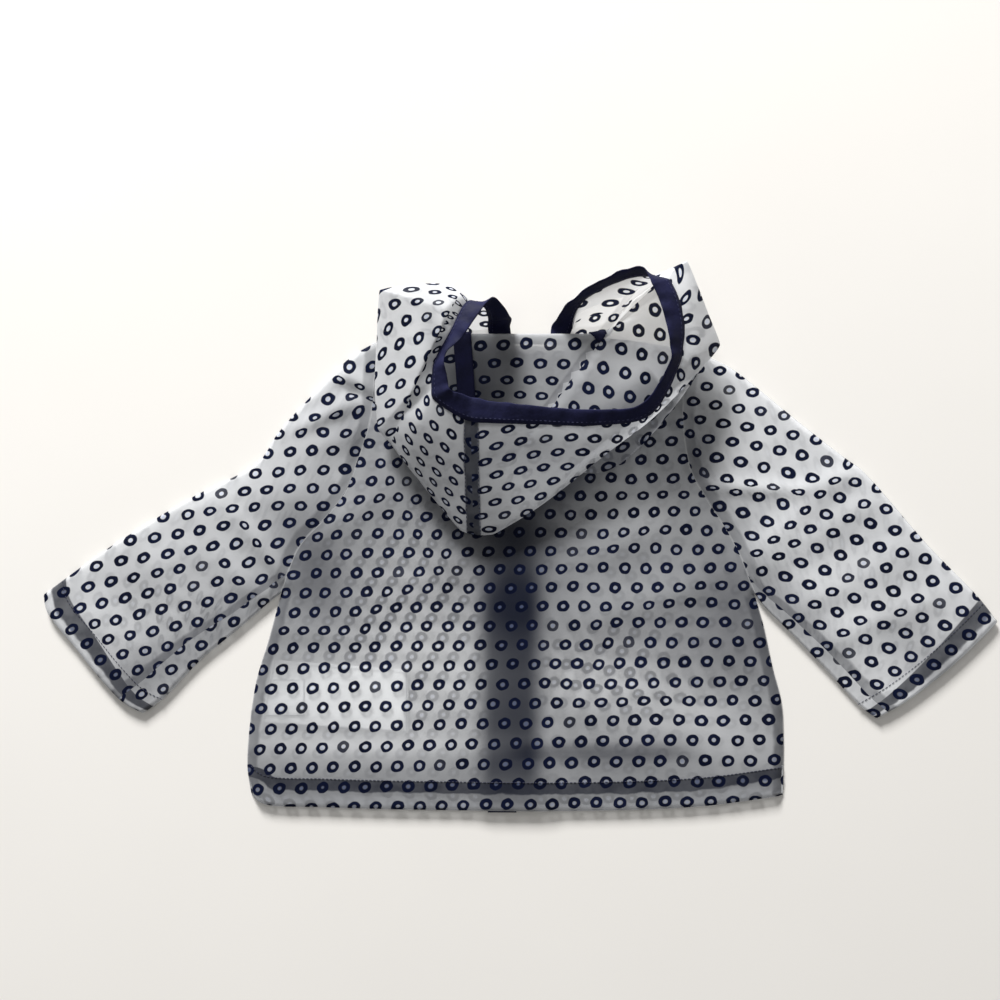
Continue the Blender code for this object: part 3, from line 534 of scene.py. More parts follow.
def spots(places, table):
    """The sum of the soft oval spots in a table."""
    total = np.zeros(places.shape[:-1])
    for middle, half, turn, amount in table:
        away = places - np.array(middle, float)
        c, s = math.cos(math.radians(turn)), math.sin(math.radians(turn))
        x = (away[..., 0] * c + away[..., 1] * s) / half[0]
        y = (away[..., 1] * c - away[..., 0] * s) / half[1]
        total += amount * np.exp(-(x * x + y * y))
    return total


def tones(plan, panel):
    """How dark and how clear the film is at each place of a panel: the darkness is painted shade, and a
    minus spot is painted light.
    """
    shade = np.clip(PAINTED_BASE_SHADE[panel] + spots(plan, PAINTED_SHADE_AND_LIGHT[panel]), 0, 0.92)
    return shade, np.clip(spots(plan, TOUCHING[panel]), 0, 1)


def marked(shape, shade=0.0, clear=0.0, seam=FAR, hem=FAR, strip=0.0, past=-FAR):
    """The marks of a sheet, each given for all its points or as one value."""
    given = dict(shade=shade, clear=clear, seam=seam, hem=hem, strip=strip, past=past)
    return {name: np.broadcast_to(value, shape) for name, value in given.items()}


def back_marks(plan, from_fold):
    """The back's marks: its hem, side seams, and painted shade, darkest where the plackets lie close
    behind it.
    """
    x, y = plan[..., 0], plan[..., 1]
    side = np.min([distance_to(plan, line) for line in SIDES], axis=0)
    arm = np.min([distance_to(plan, line) for line in ARMHOLES], axis=0)
    shade, clear = tones(plan, "back")
    # Painted shade where the plackets and the right front's hem lie behind the back, on top of what
    # shows through the film.
    placket = band(x, -31, 13, 10) * band(y, -196, -34, 30) * 0.44
    front_hem = band(x, 2, 124, 26) * band(y, -170, -158, 4) * 0.24
    shade = np.clip(shade + placket + front_hem, 0, 0.94)
    clear = np.maximum(clear, band(from_fold, -9, HEM_DEPTH - HEM_TURN_UNDER, 1.0) * 0.8)
    near_side = side < arm
    return marked(x.shape, shade, clear, np.where(near_side, side, arm), HEM_DEPTH - from_fold,
                  np.where(near_side, 0.30, 0.0))


# ---------------------------------------------------------------- meshes

def add_piece(name, mesh, finish):
    thing = bpy.data.objects.new(name, mesh)
    bpy.context.scene.collection.objects.link(thing)
    mesh.materials.append(finish)
    mesh.shade_smooth()
    return thing


def grid_mesh(name, grid, uv, ring=False, turned=False, marks=None):
    """A sheet through a grid of points, in mm, with its print coordinates and marks."""
    rows, cols = grid.shape[:2]
    place = ((grid - BASE_MIDDLE) * MM).reshape(-1, 3)
    r, c = np.meshgrid(np.arange(rows - 1), np.arange(cols if ring else cols - 1), indexing="ij")
    r, c = r.ravel(), c.ravel()
    d = c + 1
    quad = [(r, c), (r, d), (r + 1, d), (r + 1, c)]
    if turned:
        quad.reverse()
    faces = np.stack([row * cols + col % cols for row, col in quad], axis=1)
    mesh = bpy.data.meshes.new(name)
    mesh.from_pydata(place.tolist(), [], faces.tolist())
    corner_uv = np.stack([uv[row, col] for row, col in quad], axis=1).reshape(-1)
    for layer in ("print", "print_past")[:2 if marks else 1]:
        mesh.uv_layers.new(name=layer).data.foreach_set("uv", corner_uv.astype(np.float32))
    for mark, values in (marks or {}).items():
        attribute = mesh.attributes.new(mark, "FLOAT", "POINT")
        attribute.data.foreach_set("value", np.array(values, np.float32).reshape(-1))
    return mesh


def side_border(side, armhole, side_count=44, arm_count=66):
    """The outer border of a body panel, hem to shoulder, with the armpit at a point."""
    return np.concatenate([evenly(side, side_count), evenly(armhole, arm_count)[1:]])


def hemmed(plan, height, inner):
    """A panel with the hem turned up on its inner side: the hem, the round fold, the panel.

    Gives the points, and how far beyond the fold each of the first rows is along the cloth.
    """
    up = unit(plan[12] - plan[0])
    rows, beyond = [], []
    for depth in (HEM_DEPTH, HEM_DEPTH * 0.75, HEM_DEPTH * 0.5, HEM_DEPTH * 0.25, 1.2):
        place = plan[0] + up * depth
        rows.append(with_height(place, height(place) + inner * 2 * FOLD_ROUND))
        beyond.append(depth)
    middle = height(plan[0]) + inner * FOLD_ROUND
    for quarter in (-0.5, 0.0, 0.5):
        place = plan[0] + up * (FOLD_ROUND * (1 - math.cos(quarter * math.pi)))
        rows.append(with_height(place, middle - inner * FOLD_ROUND * math.sin(quarter * math.pi)))
        beyond.append(0.0)
    sheet = np.concatenate([rows, with_height(plan, height(plan))[1:]])
    sheet[..., 2] = np.maximum(sheet[..., 2], 0.0)
    return sheet, np.array(beyond)


def hemmed_print(plan, beyond, panel):
    """Print coordinates of a hemmed panel: the print runs on round the fold."""
    at_fold = printed(plan[0], panel)
    turned = at_fold[None] - np.stack([beyond * 0, beyond / ROW_PITCH], axis=1)[:, None]
    return np.concatenate([turned, printed(plan, panel)[1:]])


def hemmed_marks(marks, turned_rows):
    """Marks of a hemmed panel: the hem's own inner layer is plain and clear."""
    found = {}
    for name, values in marks.items():
        inner = {"hem": FAR, "seam": FAR, "clear": 0.8, "past": -FAR}.get(name, 0.0)
        first = np.full((turned_rows, values.shape[1]), inner)
        if name in ("hem", "shade"):
            first[-3:] = values[0]
        found[name] = np.concatenate([first, values[1:]])
    return found


def make_back(finish):
    stops = np.linspace(0, 1, 116)
    plan = patch(along(BACK_HEM, stops), along(BACK_TOP, stops),
                 side_border(LEFT_SIDE, LEFT_ARMHOLE), side_border(RIGHT_SIDE, RIGHT_ARMHOLE))
    marks = back_marks(plan, distance_to(plan, evenly(BACK_HEM)))
    grid, beyond = hemmed(plan, back_height, -1)
    mesh = grid_mesh("back_panel", grid, hemmed_print(plan, beyond, "back"),
                     marks=hemmed_marks(marks, len(beyond)))
    panel = add_piece("back_panel", mesh, finish)
    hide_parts("back", "back_hem")
    return panel


def back_hem_stitches():
    """Where the back's hem is stitched."""
    stops = np.linspace(0.003, 0.997, 120)
    fold = along(BACK_HEM, stops)
    plan = fold + np.array([0, HEM_DEPTH])
    return with_height(plan, back_height(plan) + STITCH_RISE)


def front_plan(left):
    """Plan of one front: its side and armhole are the back's, its inner edge is the placket."""
    if left:
        inner, outer = OVER_PLACKET["left"], side_border(LEFT_SIDE, LEFT_ARMHOLE)
        hem_line = [(-208, -196), (-199, -203), (-150, -206), (inner, -208)]
        top_line = joined(LEFT_SHOULDER, LEFT_FRONT_NECK)
    else:
        inner, outer = UNDER_PLACKET["left"] + PLACKET_WIDTH, side_border(RIGHT_SIDE, RIGHT_ARMHOLE)
        hem_line = [(inner, -208), (62, -208), (140, -205), (201, -197)]
        top_line = joined(RIGHT_FRONT_NECK, RIGHT_SHOULDER)
    outer[0] = hem_line[0 if left else -1]
    stops = np.linspace(0, 1, 56)
    hem, top = along(hem_line, stops), along(top_line, stops)
    low, high = (hem[-1], top[-1]) if left else (hem[0], top[0])
    inner_edge = low + (high - low) * shares(outer)[:, None]
    return patch(hem, top, outer, inner_edge) if left else patch(hem, top, inner_edge, outer)


def make_front(side, finish):
    plan = front_plan(side == "left")
    panel_name = "front_" + side
    # The fronts get an even painted shade.
    marks = marked(plan.shape[:2], shade=0.1, clear=0.7,
                   hem=HEM_DEPTH - np.abs(plan[..., 1] - plan[0, :, 1]), strip=0.3,
                   seam=np.min([distance_to(plan, line) for line in SIDES], axis=0))
    grid, beyond = hemmed(plan, front_height, 1)
    mesh = grid_mesh(panel_name + "_panel", grid, hemmed_print(plan, beyond, panel_name),
                     turned=True, marks=hemmed_marks(marks, len(beyond)))
    panel = add_piece(panel_name + "_panel", mesh, finish)
    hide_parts(panel_name, "front_hem_" + side)
    return panel


# ---------------------------------------------------------------- sleeves

def sleeve_sections(armhole, top, low, cuff, rows=84, cols=60):
    """Plan of a sleeve: rows run from the cuff to the armhole, columns from top to underarm."""
    start = evenly(cuff, cols)
    end = along(armhole, 1 - np.linspace(0, 1, cols))
    return patch(start, end, evenly(top, rows)[::-1], evenly(low, rows)[::-1])


def sleeve_upper_height(plan, from_edge, armhole):
    arm = distance_to(plan, evenly(armhole))
    at_edge = SLEEVE_EDGE_HEIGHT + (BACK_HEIGHT - SLEEVE_EDGE_HEIGHT) * ease(from_edge / EDGE_RISE)
    at_arm = ARMHOLE_HEIGHT + (BACK_HEIGHT - ARMHOLE_HEIGHT) * ease(arm / EDGE_RISE)
    return np.minimum(at_edge, at_arm) + fold_height(plan) * ease(from_edge / EDGE_RISE / 1.4)


def sleeve_ring(row, across, seam_in, armhole, inset):
    """One ring of a sleeve from its underarm seam: over the top, under, and back to it.

    Gives its points, and for each its place on the upper layer, or minus that on the lower.
    """
    width = np.linalg.norm(row[-1] - row[0])
    along_row = shares(row)
    margin = SLEEVE_EDGE_ROUND + inset
    lower_height = FRONT_HEIGHT + inset
    bulge_out = SLEEVE_EDGE_ROUND * (1 - SLEEVE_EDGE_BULGE) + inset
    bulge_height = (SLEEVE_EDGE_HEIGHT - inset + lower_height) / 2

    def layer(stops, upper):
        share = (margin + stops / width * (width - 2 * margin)) / width
        place = np.stack([np.interp(share, along_row, row[:, k]) for k in range(2)], axis=-1)
        if not upper:
            return with_height(place, np.full(len(stops), lower_height))
        from_edge = np.minimum(stops, width - stops)
        return with_height(place, sleeve_upper_height(place, from_edge, armhole) - inset)

    def bulge(end, outward):
        place = end + across * outward * -bulge_out
        return np.array([[place[0], place[1], bulge_height]])

    up_to_top = np.linspace(width - seam_in, 0, SLEEVE_UPPER)
    under = np.linspace(0, width, SLEEVE_UNDER)
    rest = np.linspace(width, width - seam_in, SLEEVE_REST)[:-1]
    points = [layer(up_to_top, True), bulge(row[0], -1), layer(under, False), bulge(row[-1], 1),
              layer(rest, True)]
    return np.concatenate(points), (up_to_top, under, rest)


def sleeve_cloth(row, across, stops):
    """Where the print is taken from: the lower layer's is the upper's, turned over the edge."""
    up_to_top, under, rest = stops
    end = len(row) - 1

    def on_row(values):
        share = np.clip(values / np.linalg.norm(row[end] - row[0]), 0, 1)
        return np.stack([np.interp(share, shares(row), row[:, k]) for k in range(2)], axis=-1)

    turned_over = row[0] - across * np.concatenate([[0.4], under + 0.8])[:, None]
    last = on_row(np.concatenate([rest[:1], rest, up_to_top[:1]])) + np.array(PRINT_BREAK)
    return np.concatenate([on_row(up_to_top), turned_over, last])


def sleeve_shell(plan, armhole, side):
    """The sleeve's points, ring by ring, with its cuff hem turned in, and its cloth."""
    across = unit(plan[:, -1] - plan[:, 0])
    seam_in = np.linspace(UNDERARM_SEAM[side][1], UNDERARM_SEAM[side][0], len(plan))
    inward = unit(plan[8] - plan[0])
    rings, cloth = [], []
    for depth in (CUFF_HEM_DEPTH, CUFF_HEM_DEPTH * 0.66, CUFF_HEM_DEPTH * 0.33, 1.2):
        ring, stops = sleeve_ring(plan[0] + inward * depth, across[0], seam_in[0], armhole,
                                  2 * FOLD_ROUND)
        rings.append(ring)
        cloth.append(sleeve_cloth(plan[0] - inward * depth, across[0], stops))
    for k in range(len(plan)):
        ring, stops = sleeve_ring(plan[k], across[k], seam_in[k], armhole, 0.0)
        rings.append(ring)
        cloth.append(sleeve_cloth(plan[k], across[k], stops))
    fold = (rings[3] + rings[4]) / 2
    outward = unit(plan[0] - plan[8]).mean(axis=0)
    fold[:, :2] += outward * FOLD_ROUND
    rings.insert(4, fold)
    cloth.insert(4, cloth[4])
    return np.array(rings), np.array(cloth)


def sleeve_marks(rings, armhole, side):
    """The sleeve's marks: cuff hem, armhole and underarm seams, and its painted shade."""
    rows, count = rings.shape[:2]
    places = rings[..., :2]
    upper = np.arange(count) < SLEEVE_UPPER
    run = np.concatenate([np.zeros((rows, 1)),
                          np.cumsum(np.linalg.norm(np.diff(rings, axis=1), axis=-1), axis=1)], axis=1)
    underarm = np.where(upper, run, FAR)
    arm = distance_to(places, evenly(armhole))
    shade, clear = tones(places, side)
    on_top = upper | (np.arange(count) >= count - SLEEVE_REST)
    from_cuff = np.concatenate([[-FAR] * 4, [0.0], lengths(rings[5:, SLEEVE_UPPER // 2])])
    hem = np.repeat((CUFF_HEM_DEPTH - from_cuff)[:, None], count, axis=1)
    hem = hem * HEM_TURN_UNDER / CUFF_TURN_UNDER
    # The lower layer gets an even painted shade; adding 1 to the underarm keeps the painted highlight
    # along seams off it.
    return marked((rows, count), np.where(on_top, shade, 0.1), np.where(on_top, clear, 0.6),
                  np.minimum(underarm + 1.0, arm), hem, np.where(underarm < arm, 0.32, 0.20))


def make_sleeve(side, armhole, top, low, cuff, finish):
    plan = sleeve_sections(armhole, top, low, cuff)
    rings, cloth = sleeve_shell(plan, armhole, side)
    name = "sleeve_%s_tube" % side
    mesh = grid_mesh(name, rings, printed(cloth, side), ring=True, turned=side == "left",
                     marks=sleeve_marks(rings, armhole, side))
    sleeve = add_piece(name, mesh, finish)
    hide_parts("sleeve_" + side, "cuff_hem_" + side)
    return sleeve


def cuff_stitches(side, armhole, top, low, cuff):
    """Where a cuff is stitched, on its upper side."""
    plan = sleeve_sections(armhole, top, low, cuff)
    row = plan[0] + unit(plan[8] - plan[0]) * CUFF_HEM_DEPTH
    across = unit(row[-1] - row[0])
    ring, _ = sleeve_ring(row, across, UNDERARM_SEAM[side][1], armhole, 0.0)
    line = np.concatenate([ring[-SLEEVE_REST + 1:], ring[:SLEEVE_UPPER]])
    line[:, 2] += STITCH_RISE
    return line


# ---------------------------------------------------------------- hood

def rounded_fold(row):
    """Give a plain fold its round lower half."""
    fold, lay = np.array(row["fold"], float), np.array(row["lay"], float)
    drop = (fold[2] - lay[2]) * FOLD_DROP
    tuck = fold + (lay - fold) * FOLD_RETURN
    tuck[2] = fold[2] - drop
    return dict(row, tuck=tuck, flap=(tuck + lay) / 2)


def hood_section(row):
    """One section of the hood, as control points with the empty places filled evenly."""
    if "fold" in row and "tuck" not in row:
        row = rounded_fold(row)
    given = [k for k, column in enumerate(HOOD_COLUMNS) if column in row]
    points = np.zeros((len(HOOD_COLUMNS), 3))
    for axis in range(3):
        values = [row[HOOD_COLUMNS[k]][axis] for k in given]
        points[:, axis] = np.interp(range(len(HOOD_COLUMNS)), given, values)
    crisp = [1.0, row.get("ridge", 1.0), FOLD_CRISPNESS] + [1.0] * (len(HOOD_COLUMNS) - 3)
    return smooth_line(points, HOOD_STEPS, crisp)


def down_the_hood(line):
    """A smooth line through one place on each of the hood's sections."""
    return smooth_line(line, ROW_STEPS, [row.get("crisp", 1.0) for row in HOOD])


def at_row(number):
    """The grid's row at a section's number."""
    starts = np.concatenate([[0], np.cumsum(ROW_STEPS)])
    return int(round(np.interp(number, range(len(HOOD)), starts)))


def hood_grid():
    """All sections of the hood, the left neck end first; each runs from film edge to neck seam."""
    sections = np.array([hood_section(row) for row in HOOD])
    grid = np.stack([down_the_hood(sections[:, k]) for k in range(sections.shape[1])], axis=1)
    grid[..., 2] += pleat_step(grid)
    return clear_of_back(grid)


def beyond(grid, line):
    """How far each point is to the right of a line, going down it."""
    start, end = np.array(line[0], float), np.array(line[1], float)
    run = unit(end - start)
    return (grid[..., 0] - start[0]) * -run[1] + (grid[..., 1] - start[1]) * run[0]


def pleat_step(grid):
    """Raise the lower layer on the right of its pleat, fading out to the flap and the seam."""
    lying = sum(HOOD_STEPS[:4])
    column = np.arange(grid.shape[1])
    fade = ease((column - lying) / HOOD_STEPS[4]) * ease((grid.shape[1] - 1 - column) / HOOD_STEPS[6])
    past_crown = (np.arange(grid.shape[0]) > CROWN)[:, None]
    over_front = grid[..., 2] > FRONT_LAYER_TOP
    step = PLEAT_HEIGHT * ease(beyond(grid, RIGHT_PLEAT) / PLEAT_WIDTH)
    return step * fade * past_crown * over_front


def clear_of_back(grid):
    """Keep the hood's lowest layer just above the back and the shoulders."""
    out = grid.copy()
    height = out[..., 2]
    over_coat = (out[..., 1] < NECK_LINE) & (height > FRONT_LAYER_TOP) & (height < HOOD_CLEARANCE)
    height[over_coat] = HOOD_CLEARANCE
    return out


def laid_out(thing, centre):
    """Places of a hood half's points when it is laid out flat, from the crown along the seam."""
    mesh = thing.data
    bpy.ops.object.select_all(action="DESELECT")
    thing.select_set(True)
    bpy.context.view_layer.objects.active = thing
    bpy.ops.object.mode_set(mode="EDIT")
    bpy.ops.mesh.select_all(action="SELECT")
    bpy.ops.uv.unwrap(method="MINIMUM_STRETCH", iterations=60, margin=0.0)
    bpy.ops.object.mode_set(mode="OBJECT")
    uv = np.zeros(len(mesh.loops) * 2, np.float32)
    mesh.uv_layers["print"].data.foreach_get("uv", uv)
    vertex = np.zeros(len(mesh.loops), np.int32)
    mesh.loops.foreach_get("vertex_index", vertex)
    flat = np.zeros((len(mesh.vertices), 2))
    flat[vertex] = uv.reshape(-1, 2)
    corners = uv.reshape(-1, 4, 2).astype(float)
    one, two = corners[:, 2] - corners[:, 0], corners[:, 3] - corners[:, 1]
    flat_area = (one[:, 0] * two[:, 1] - one[:, 1] * two[:, 0]).sum() / 2
    real_area = sum(face.area for face in mesh.polygons) / MM**2
    flat *= math.sqrt(real_area / abs(flat_area))
    start, end = flat[centre[0]], flat[centre[1]]
    seam = unit(end - start)
    aside = np.array([seam[1], -seam[0]]) * np.sign(flat_area)
    return np.stack([(flat - start) @ aside, (flat - start) @ seam], axis=-1), vertex


def print_hood_half(half, side, part, centre):
    """Chart the print on a hood half: once as it runs, and once as it runs beyond its crease."""
    flat, vertex = laid_out(half, centre)
    face = np.arange(len(vertex)) // 4
    row, column = face // (part.shape[1] - 1), face % (part.shape[1] - 1)
    outside = column < PRINT_BREAK_COLUMN

    def charted(name):
        return chart(flat, name)[vertex]

    if side == "left":
        wall = row < at_row(LEFT_WALL)
        first = np.where(outside[:, None], charted("hood_left"), charted("hood_inside"))
        first = np.where(wall[:, None], charted("plain"), first)
        past = np.where((outside & ~wall)[:, None], charted("hood_side"), first)
    else:
        lobe, wall = row >= at_row(RIGHT_LOBE) - CROWN, row >= at_row(RIGHT_WALL) - CROWN
        first = np.where(lobe[:, None], charted("right_lobe"), charted("hood_right"))
        inside = np.where(wall[:, None], charted("front_wall"), charted("hood_inside"))
        first = np.where(outside[:, None], first, inside)
        past = np.where((outside | wall)[:, None], first, charted("past_pleat"))
    for name, uv in (("print", first), ("print_past", past)):
        half.data.uv_layers[name].data.foreach_set("uv", uv.reshape(-1).astype(np.float32))


def hood_marks(part, from_crown, left):
    """Marks of a hood half: the tape behind its centre seam, a painted shadow beside the pleat, and its
    painted shade.
    """
    cols = part.shape[1]
    middle = part[np.argmin(from_crown)]
    away = np.linalg.norm(part - middle[None], axis=-1)
    seam = np.where(from_crown[:, None] < 26, away, FAR) * SEAM_ALLOWANCE / (SEAM_TAPE_WIDTH / 2 + 0.8)
    outer = np.broadcast_to((np.arange(cols) < TIP_COLUMN)[None], away.shape)
    before = -beyond(part, RIGHT_PLEAT) * SEAM_ALLOWANCE / PLEAT_SHADE_WIDTH
    # Painted shadow: a dark strip beside the right pleat, carried by the seam mark.
    pleat_shadow = (before > -0.3) & ~outer & (from_crown[:, None] > 10)
    shade_out, clear_out = tones(part[..., :2], "hood")
    shade_in, clear_in = tones(part[..., :2], "inside")
    # Adding 1 keeps the painted highlight along seams off the hood.
    seam = np.where(pleat_shadow, np.minimum(seam, before), seam) + 1.0
    strip = np.where(outer, 0.70, 0.22)
    row, column = np.mgrid[:part.shape[0], :cols]
    if not left:
        # Painted shade on the flap beside the tip and on the strip folded back along the pleat.
        flap = band(column, *FLAP_COLUMNS, 2) * between(row, 14, 24) * (row < at_row(RIGHT_LOBE) - CROWN)
        folded = band(row, *(at_row(k) - CROWN for k in FOLDED_STRIP), 2) * (column > PRINT_BREAK_COLUMN)
        shade_in = np.clip(shade_in + 0.30 * flap + 0.26 * folded, 0, 0.9)
    # The far walls of the mouth keep only a fifth of their painted shade, so they look lit through.
    wall = (row < at_row(LEFT_WALL)) if left else (row >= at_row(RIGHT_WALL) - CROWN)
    shade_in = shade_in * (1 - 0.8 * wall)
    past = beyond(part, RIDGE if left else RIGHT_PLEAT)
    return marked(part.shape[:2], np.where(outer, shade_out, shade_in),
                  np.where(outer, clear_out, clear_in), seam, FAR, strip, past)


def make_hood_half(side, grid, finish):
    left = side == "left"
    part = grid[:CROWN + 1] if left else grid[CROWN:]
    count, cols = part.shape[:2]
    from_crown = np.arange(count)[::-1] if left else np.arange(count)
    uv = np.stack(np.meshgrid(np.linspace(0, 1, cols), np.linspace(0, 1, count)), axis=-1)
    name = "hood_%s_half" % side
    mesh = grid_mesh(name, part, uv, marks=hood_marks(part, from_crown, left))
    half = add_piece(name, mesh, finish)
    seam_row = (count - 1 if left else 0) * cols
    print_hood_half(half, side, part, (seam_row + TIP_COLUMN, seam_row))
    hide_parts("hood_" + side)
    return half


def centre_seam_stitches(grid, aside):
    """One row of stitches beside the hood's centre seam, on the outside, down to the tip."""
    reach = 20
    points = []
    for k in range(2, TIP_COLUMN):
        line = grid[CROWN - reach:CROWN + reach + 1, k]
        points.append(at_lengths(line, [lengths(line)[reach] + aside])[0])
    return np.array(points) + np.array([0, 0, STITCH_RISE])


# ---------------------------------------------------------------- tapes

def tape(name, grid, finish, thickness=TAPE_THICKNESS, turned=False):
    """A woven band: a sheet given its thickness, with length and width as its coordinates."""
    run = np.array([lengths(row) for row in np.swapaxes(grid, 0, 1)]).T
    width = np.array([lengths(row) for row in grid])
    uv = np.stack([width, run], axis=-1)
    mesh = grid_mesh(name, grid, uv, turned=turned)
    thing = add_piece(name, mesh, finish)
    wall = thing.modifiers.new("Thickness", "SOLIDIFY")
    wall.thickness = thickness * MM
    wall.offset = 0.0
    return plain(thing)


def plain(thing):
    """Turn a piece's evaluated shape into a plain mesh, without its modifiers."""
    depsgraph = bpy.context.evaluated_depsgraph_get()
    mesh = bpy.data.meshes.new_from_object(thing.evaluated_get(depsgraph))
    old = thing.data
    thing.modifiers.clear()
    thing.data = mesh
    bpy.data.meshes.remove(old)
    mesh.name = thing.name
    mesh.shade_smooth()
    return thing


def make_binding(grid, finish):
    """The folded binding over the film's edge, a little puckered by its stitching."""
    rim = down_the_hood([row["rim"] for row in HOOD])
    edge = grid[:, 0]
    away = unit(rim - edge)
    width = np.linalg.norm(rim - edge, axis=1)
    run = lengths(edge)
    pucker = 0.4 * np.sin(run / 3.1) + 0.45 * np.sin(run / 8.3 + 1.0) + 0.25 * np.sin(run / 1.9 + 2)
    narrow = 0.28 * np.exp(-((run - run[at_row(7)]) / 9) ** 2)
    side = unit(np.cross(np.gradient(edge, axis=0), away))
    ring = []
    for share, out in BINDING_SECTION:
        swell = out * BINDING_HALF * (1 + 0.3 * pucker * (1 - share))
        sway = pucker * 1.1 * ease(share)
        reach = width * share * (1 - narrow + 0.05 * pucker)
        place = edge + away * reach[:, None] + side * (swell + sway)[:, None]
        ring.append(place)
    sections = np.stack(ring, axis=1)
    sections[..., 2] = np.maximum(sections[..., 2], BINDING_LOWEST)
    run_grid = np.repeat(run[:, None], sections.shape[1] + 1, axis=1)
    across = np.repeat(np.linspace(0, 30, sections.shape[1] + 1)[None], len(run), axis=0)
    mesh = grid_mesh("face_binding", sections, np.stack([across, run_grid], axis=-1), ring=True)
    build = bmesh.new()
    build.from_mesh(mesh)
    bmesh.ops.holes_fill(build, edges=[e for e in build.edges if e.is_boundary], sides=0)
    bmesh.ops.recalc_face_normals(build, faces=build.faces)
    build.to_mesh(mesh)
    build.free()
    binding = add_piece("face_binding", mesh, finish)
    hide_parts("hood_binding")
    return binding


def binding_stitches(grid, face):
    """Where the binding is stitched down, on one face of it."""
    rim = down_the_hood([row["rim"] for row in HOOD])
    edge = grid[:, 0]
    away = unit(rim - edge)
    side = unit(np.cross(np.gradient(edge, axis=0), away))
    line = edge + away * 1.6 + side * face * BINDING_HALF * 1.45
    return line[2:-2]


def inner_side(grid, distance):
    """The hood's points moved to its inner side."""
    away = normals(grid)
    upper_middle = away[CROWN, 3]
    return grid - away * np.sign(upper_middle[2]) * distance


def make_seam_tape(grid, finish):
    """The tape over the centre seam, from the hood's own points, moved in."""
    reach = 22
    surface = inner_side(grid, LAYER)[CROWN - reach:CROWN + reach + 1]
    rows = []
    for k in range(3, surface.shape[1] - HOOD_STEPS[6]):
        line = surface[:, k]
        near_tip = ease(1.6 - abs(k - TIP_COLUMN) / 9)
        inside = ease((k - TIP_COLUMN) / 9)
        width = SEAM_TAPE_WIDTH + (SEAM_TAPE_INSIDE - SEAM_TAPE_WIDTH) * inside
        width *= 1 - 0.55 * near_tip
        rows.append(at_lengths(line, lengths(line)[reach] + np.linspace(-0.5, 0.5, 7) * width))
    thing = tape("centre_seam_tape", np.array(rows), finish, thickness=0.6)
    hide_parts("hood_seam_tape")
    return thing


def make_neck_tape(grid, finish):
    """The tape over the neck seam, under the roll; its end shows at the right neck point."""
    surface = inner_side(grid, LAYER)
    first, last = (at_row(number) for number in NECK_TAPE_ROWS)
    rows = []
    for k in range(first, last + 1):
        shown = (k - (last - NECK_TAPE_END)) / NECK_TAPE_END
        width = NECK_TAPE_WIDTH + (NECK_TAPE_SHOWS - 10.0 * shown if shown >= 0 else 0)
        rows.append(at_lengths(surface[k, ::-1], np.linspace(0.5, width, 9)))
    thing = tape("neck_seam_tape", np.array(rows), finish, thickness=0.6)
    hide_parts("neck_tape")
    return thing


def make_placket(name, strip, node, finish):
    across = np.linspace(strip["left"], strip["left"] + PLACKET_WIDTH, 9)
    up = np.linspace(strip["end"], PLACKET_TOP, 90)
    plan = np.stack(np.meshgrid(across, up), axis=-1)
    height = np.full(plan.shape[:2], strip["height"])
    thing = tape(name, with_height(plan, height), finish, thickness=0.95)
    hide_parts(node)
    return thing


def make_label(name, outline, height, finish):
    top_left, top_right, low_right, low_left = outline
    stops = np.linspace(0, 1, 24)
    plan = patch(along([top_left, top_right], stops), along([low_left, low_right], stops),
                 along([top_left, low_left], stops), along([top_right, low_right], stops))
    return tape(name, with_height(plan, np.full(plan.shape[:2], height)), finish, thickness=0.4)


def label_outline(outline, inset):
    """A closed line just inside a label's edge, on its upper face."""
    corners = np.array(list(outline) + [outline[0]], float)
    corners += (corners[:-1].mean(axis=0) - corners) * inset / 30
    line = np.concatenate([np.linspace(a, b, 30)[:-1] for a, b in zip(corners[:-1], corners[1:])])
    return with_height(line, np.full(len(line), LABEL_HEIGHT + 0.9))


# ---------------------------------------------------------------- stitching

def stitch_group():
    """Geometry nodes that lay even stitches along a line of points."""
    tree = bpy.data.node_groups.new("Run of stitches", "GeometryNodeTree")
    face = tree.interface
    face.new_socket("Line", in_out="INPUT", socket_type="NodeSocketGeometry")
    face.new_socket("Stitches", in_out="OUTPUT", socket_type="NodeSocketGeometry")
    face.new_socket("Spacing", in_out="INPUT", socket_type="NodeSocketFloat")
    face.new_socket("Stitch length", in_out="INPUT", socket_type="NodeSocketFloat")
    face.new_socket("Thread width", in_out="INPUT", socket_type="NodeSocketFloat")
    face.new_socket("Thread", in_out="INPUT", socket_type="NodeSocketMaterial")
    given = tree.nodes.new("NodeGroupInput").outputs
    curve = node(tree, "GeometryNodeMeshToCurve", {"Mesh": given["Line"]})
    spaced = node(tree, "GeometryNodeResampleCurve", {"Curve": curve.outputs[0],
                                                      "Length": given["Spacing"]}, mode="LENGTH")
    direction = node(tree, "GeometryNodeInputTangent")
    turned = node(tree, "FunctionNodeAlignRotationToVector", {"Vector": direction.outputs[0]},
                  axis="X")
    bead = node(tree, "GeometryNodeMeshUVSphere", {"Segments": 6, "Rings": 4, "Radius": 0.5})
    long_way = node(tree, "FunctionNodeRandomValue", {"Min": 0.85, "Max": 1.1, "Seed": 4})
    length = calc(tree, "MULTIPLY", given["Stitch length"], long_way.outputs["Value"])
    size = node(tree, "ShaderNodeCombineXYZ", {0: length, 1: given["Thread width"],
                                               2: given["Thread width"]})
    laid = node(tree, "GeometryNodeInstanceOnPoints", {
        "Points": spaced.outputs[0], "Instance": bead.outputs["Mesh"],
        "Rotation": turned.outputs[0], "Scale": size.outputs[0]})
    real = node(tree, "GeometryNodeRealizeInstances", {"Geometry": laid.outputs[0]})
    finished = node(tree, "GeometryNodeSetMaterial", {"Geometry": real.outputs[0],
                                                      "Material": given["Thread"]})
    out = tree.nodes.new("NodeGroupOutput")
    tree.links.new(finished.outputs[0], out.inputs["Stitches"])
    return tree


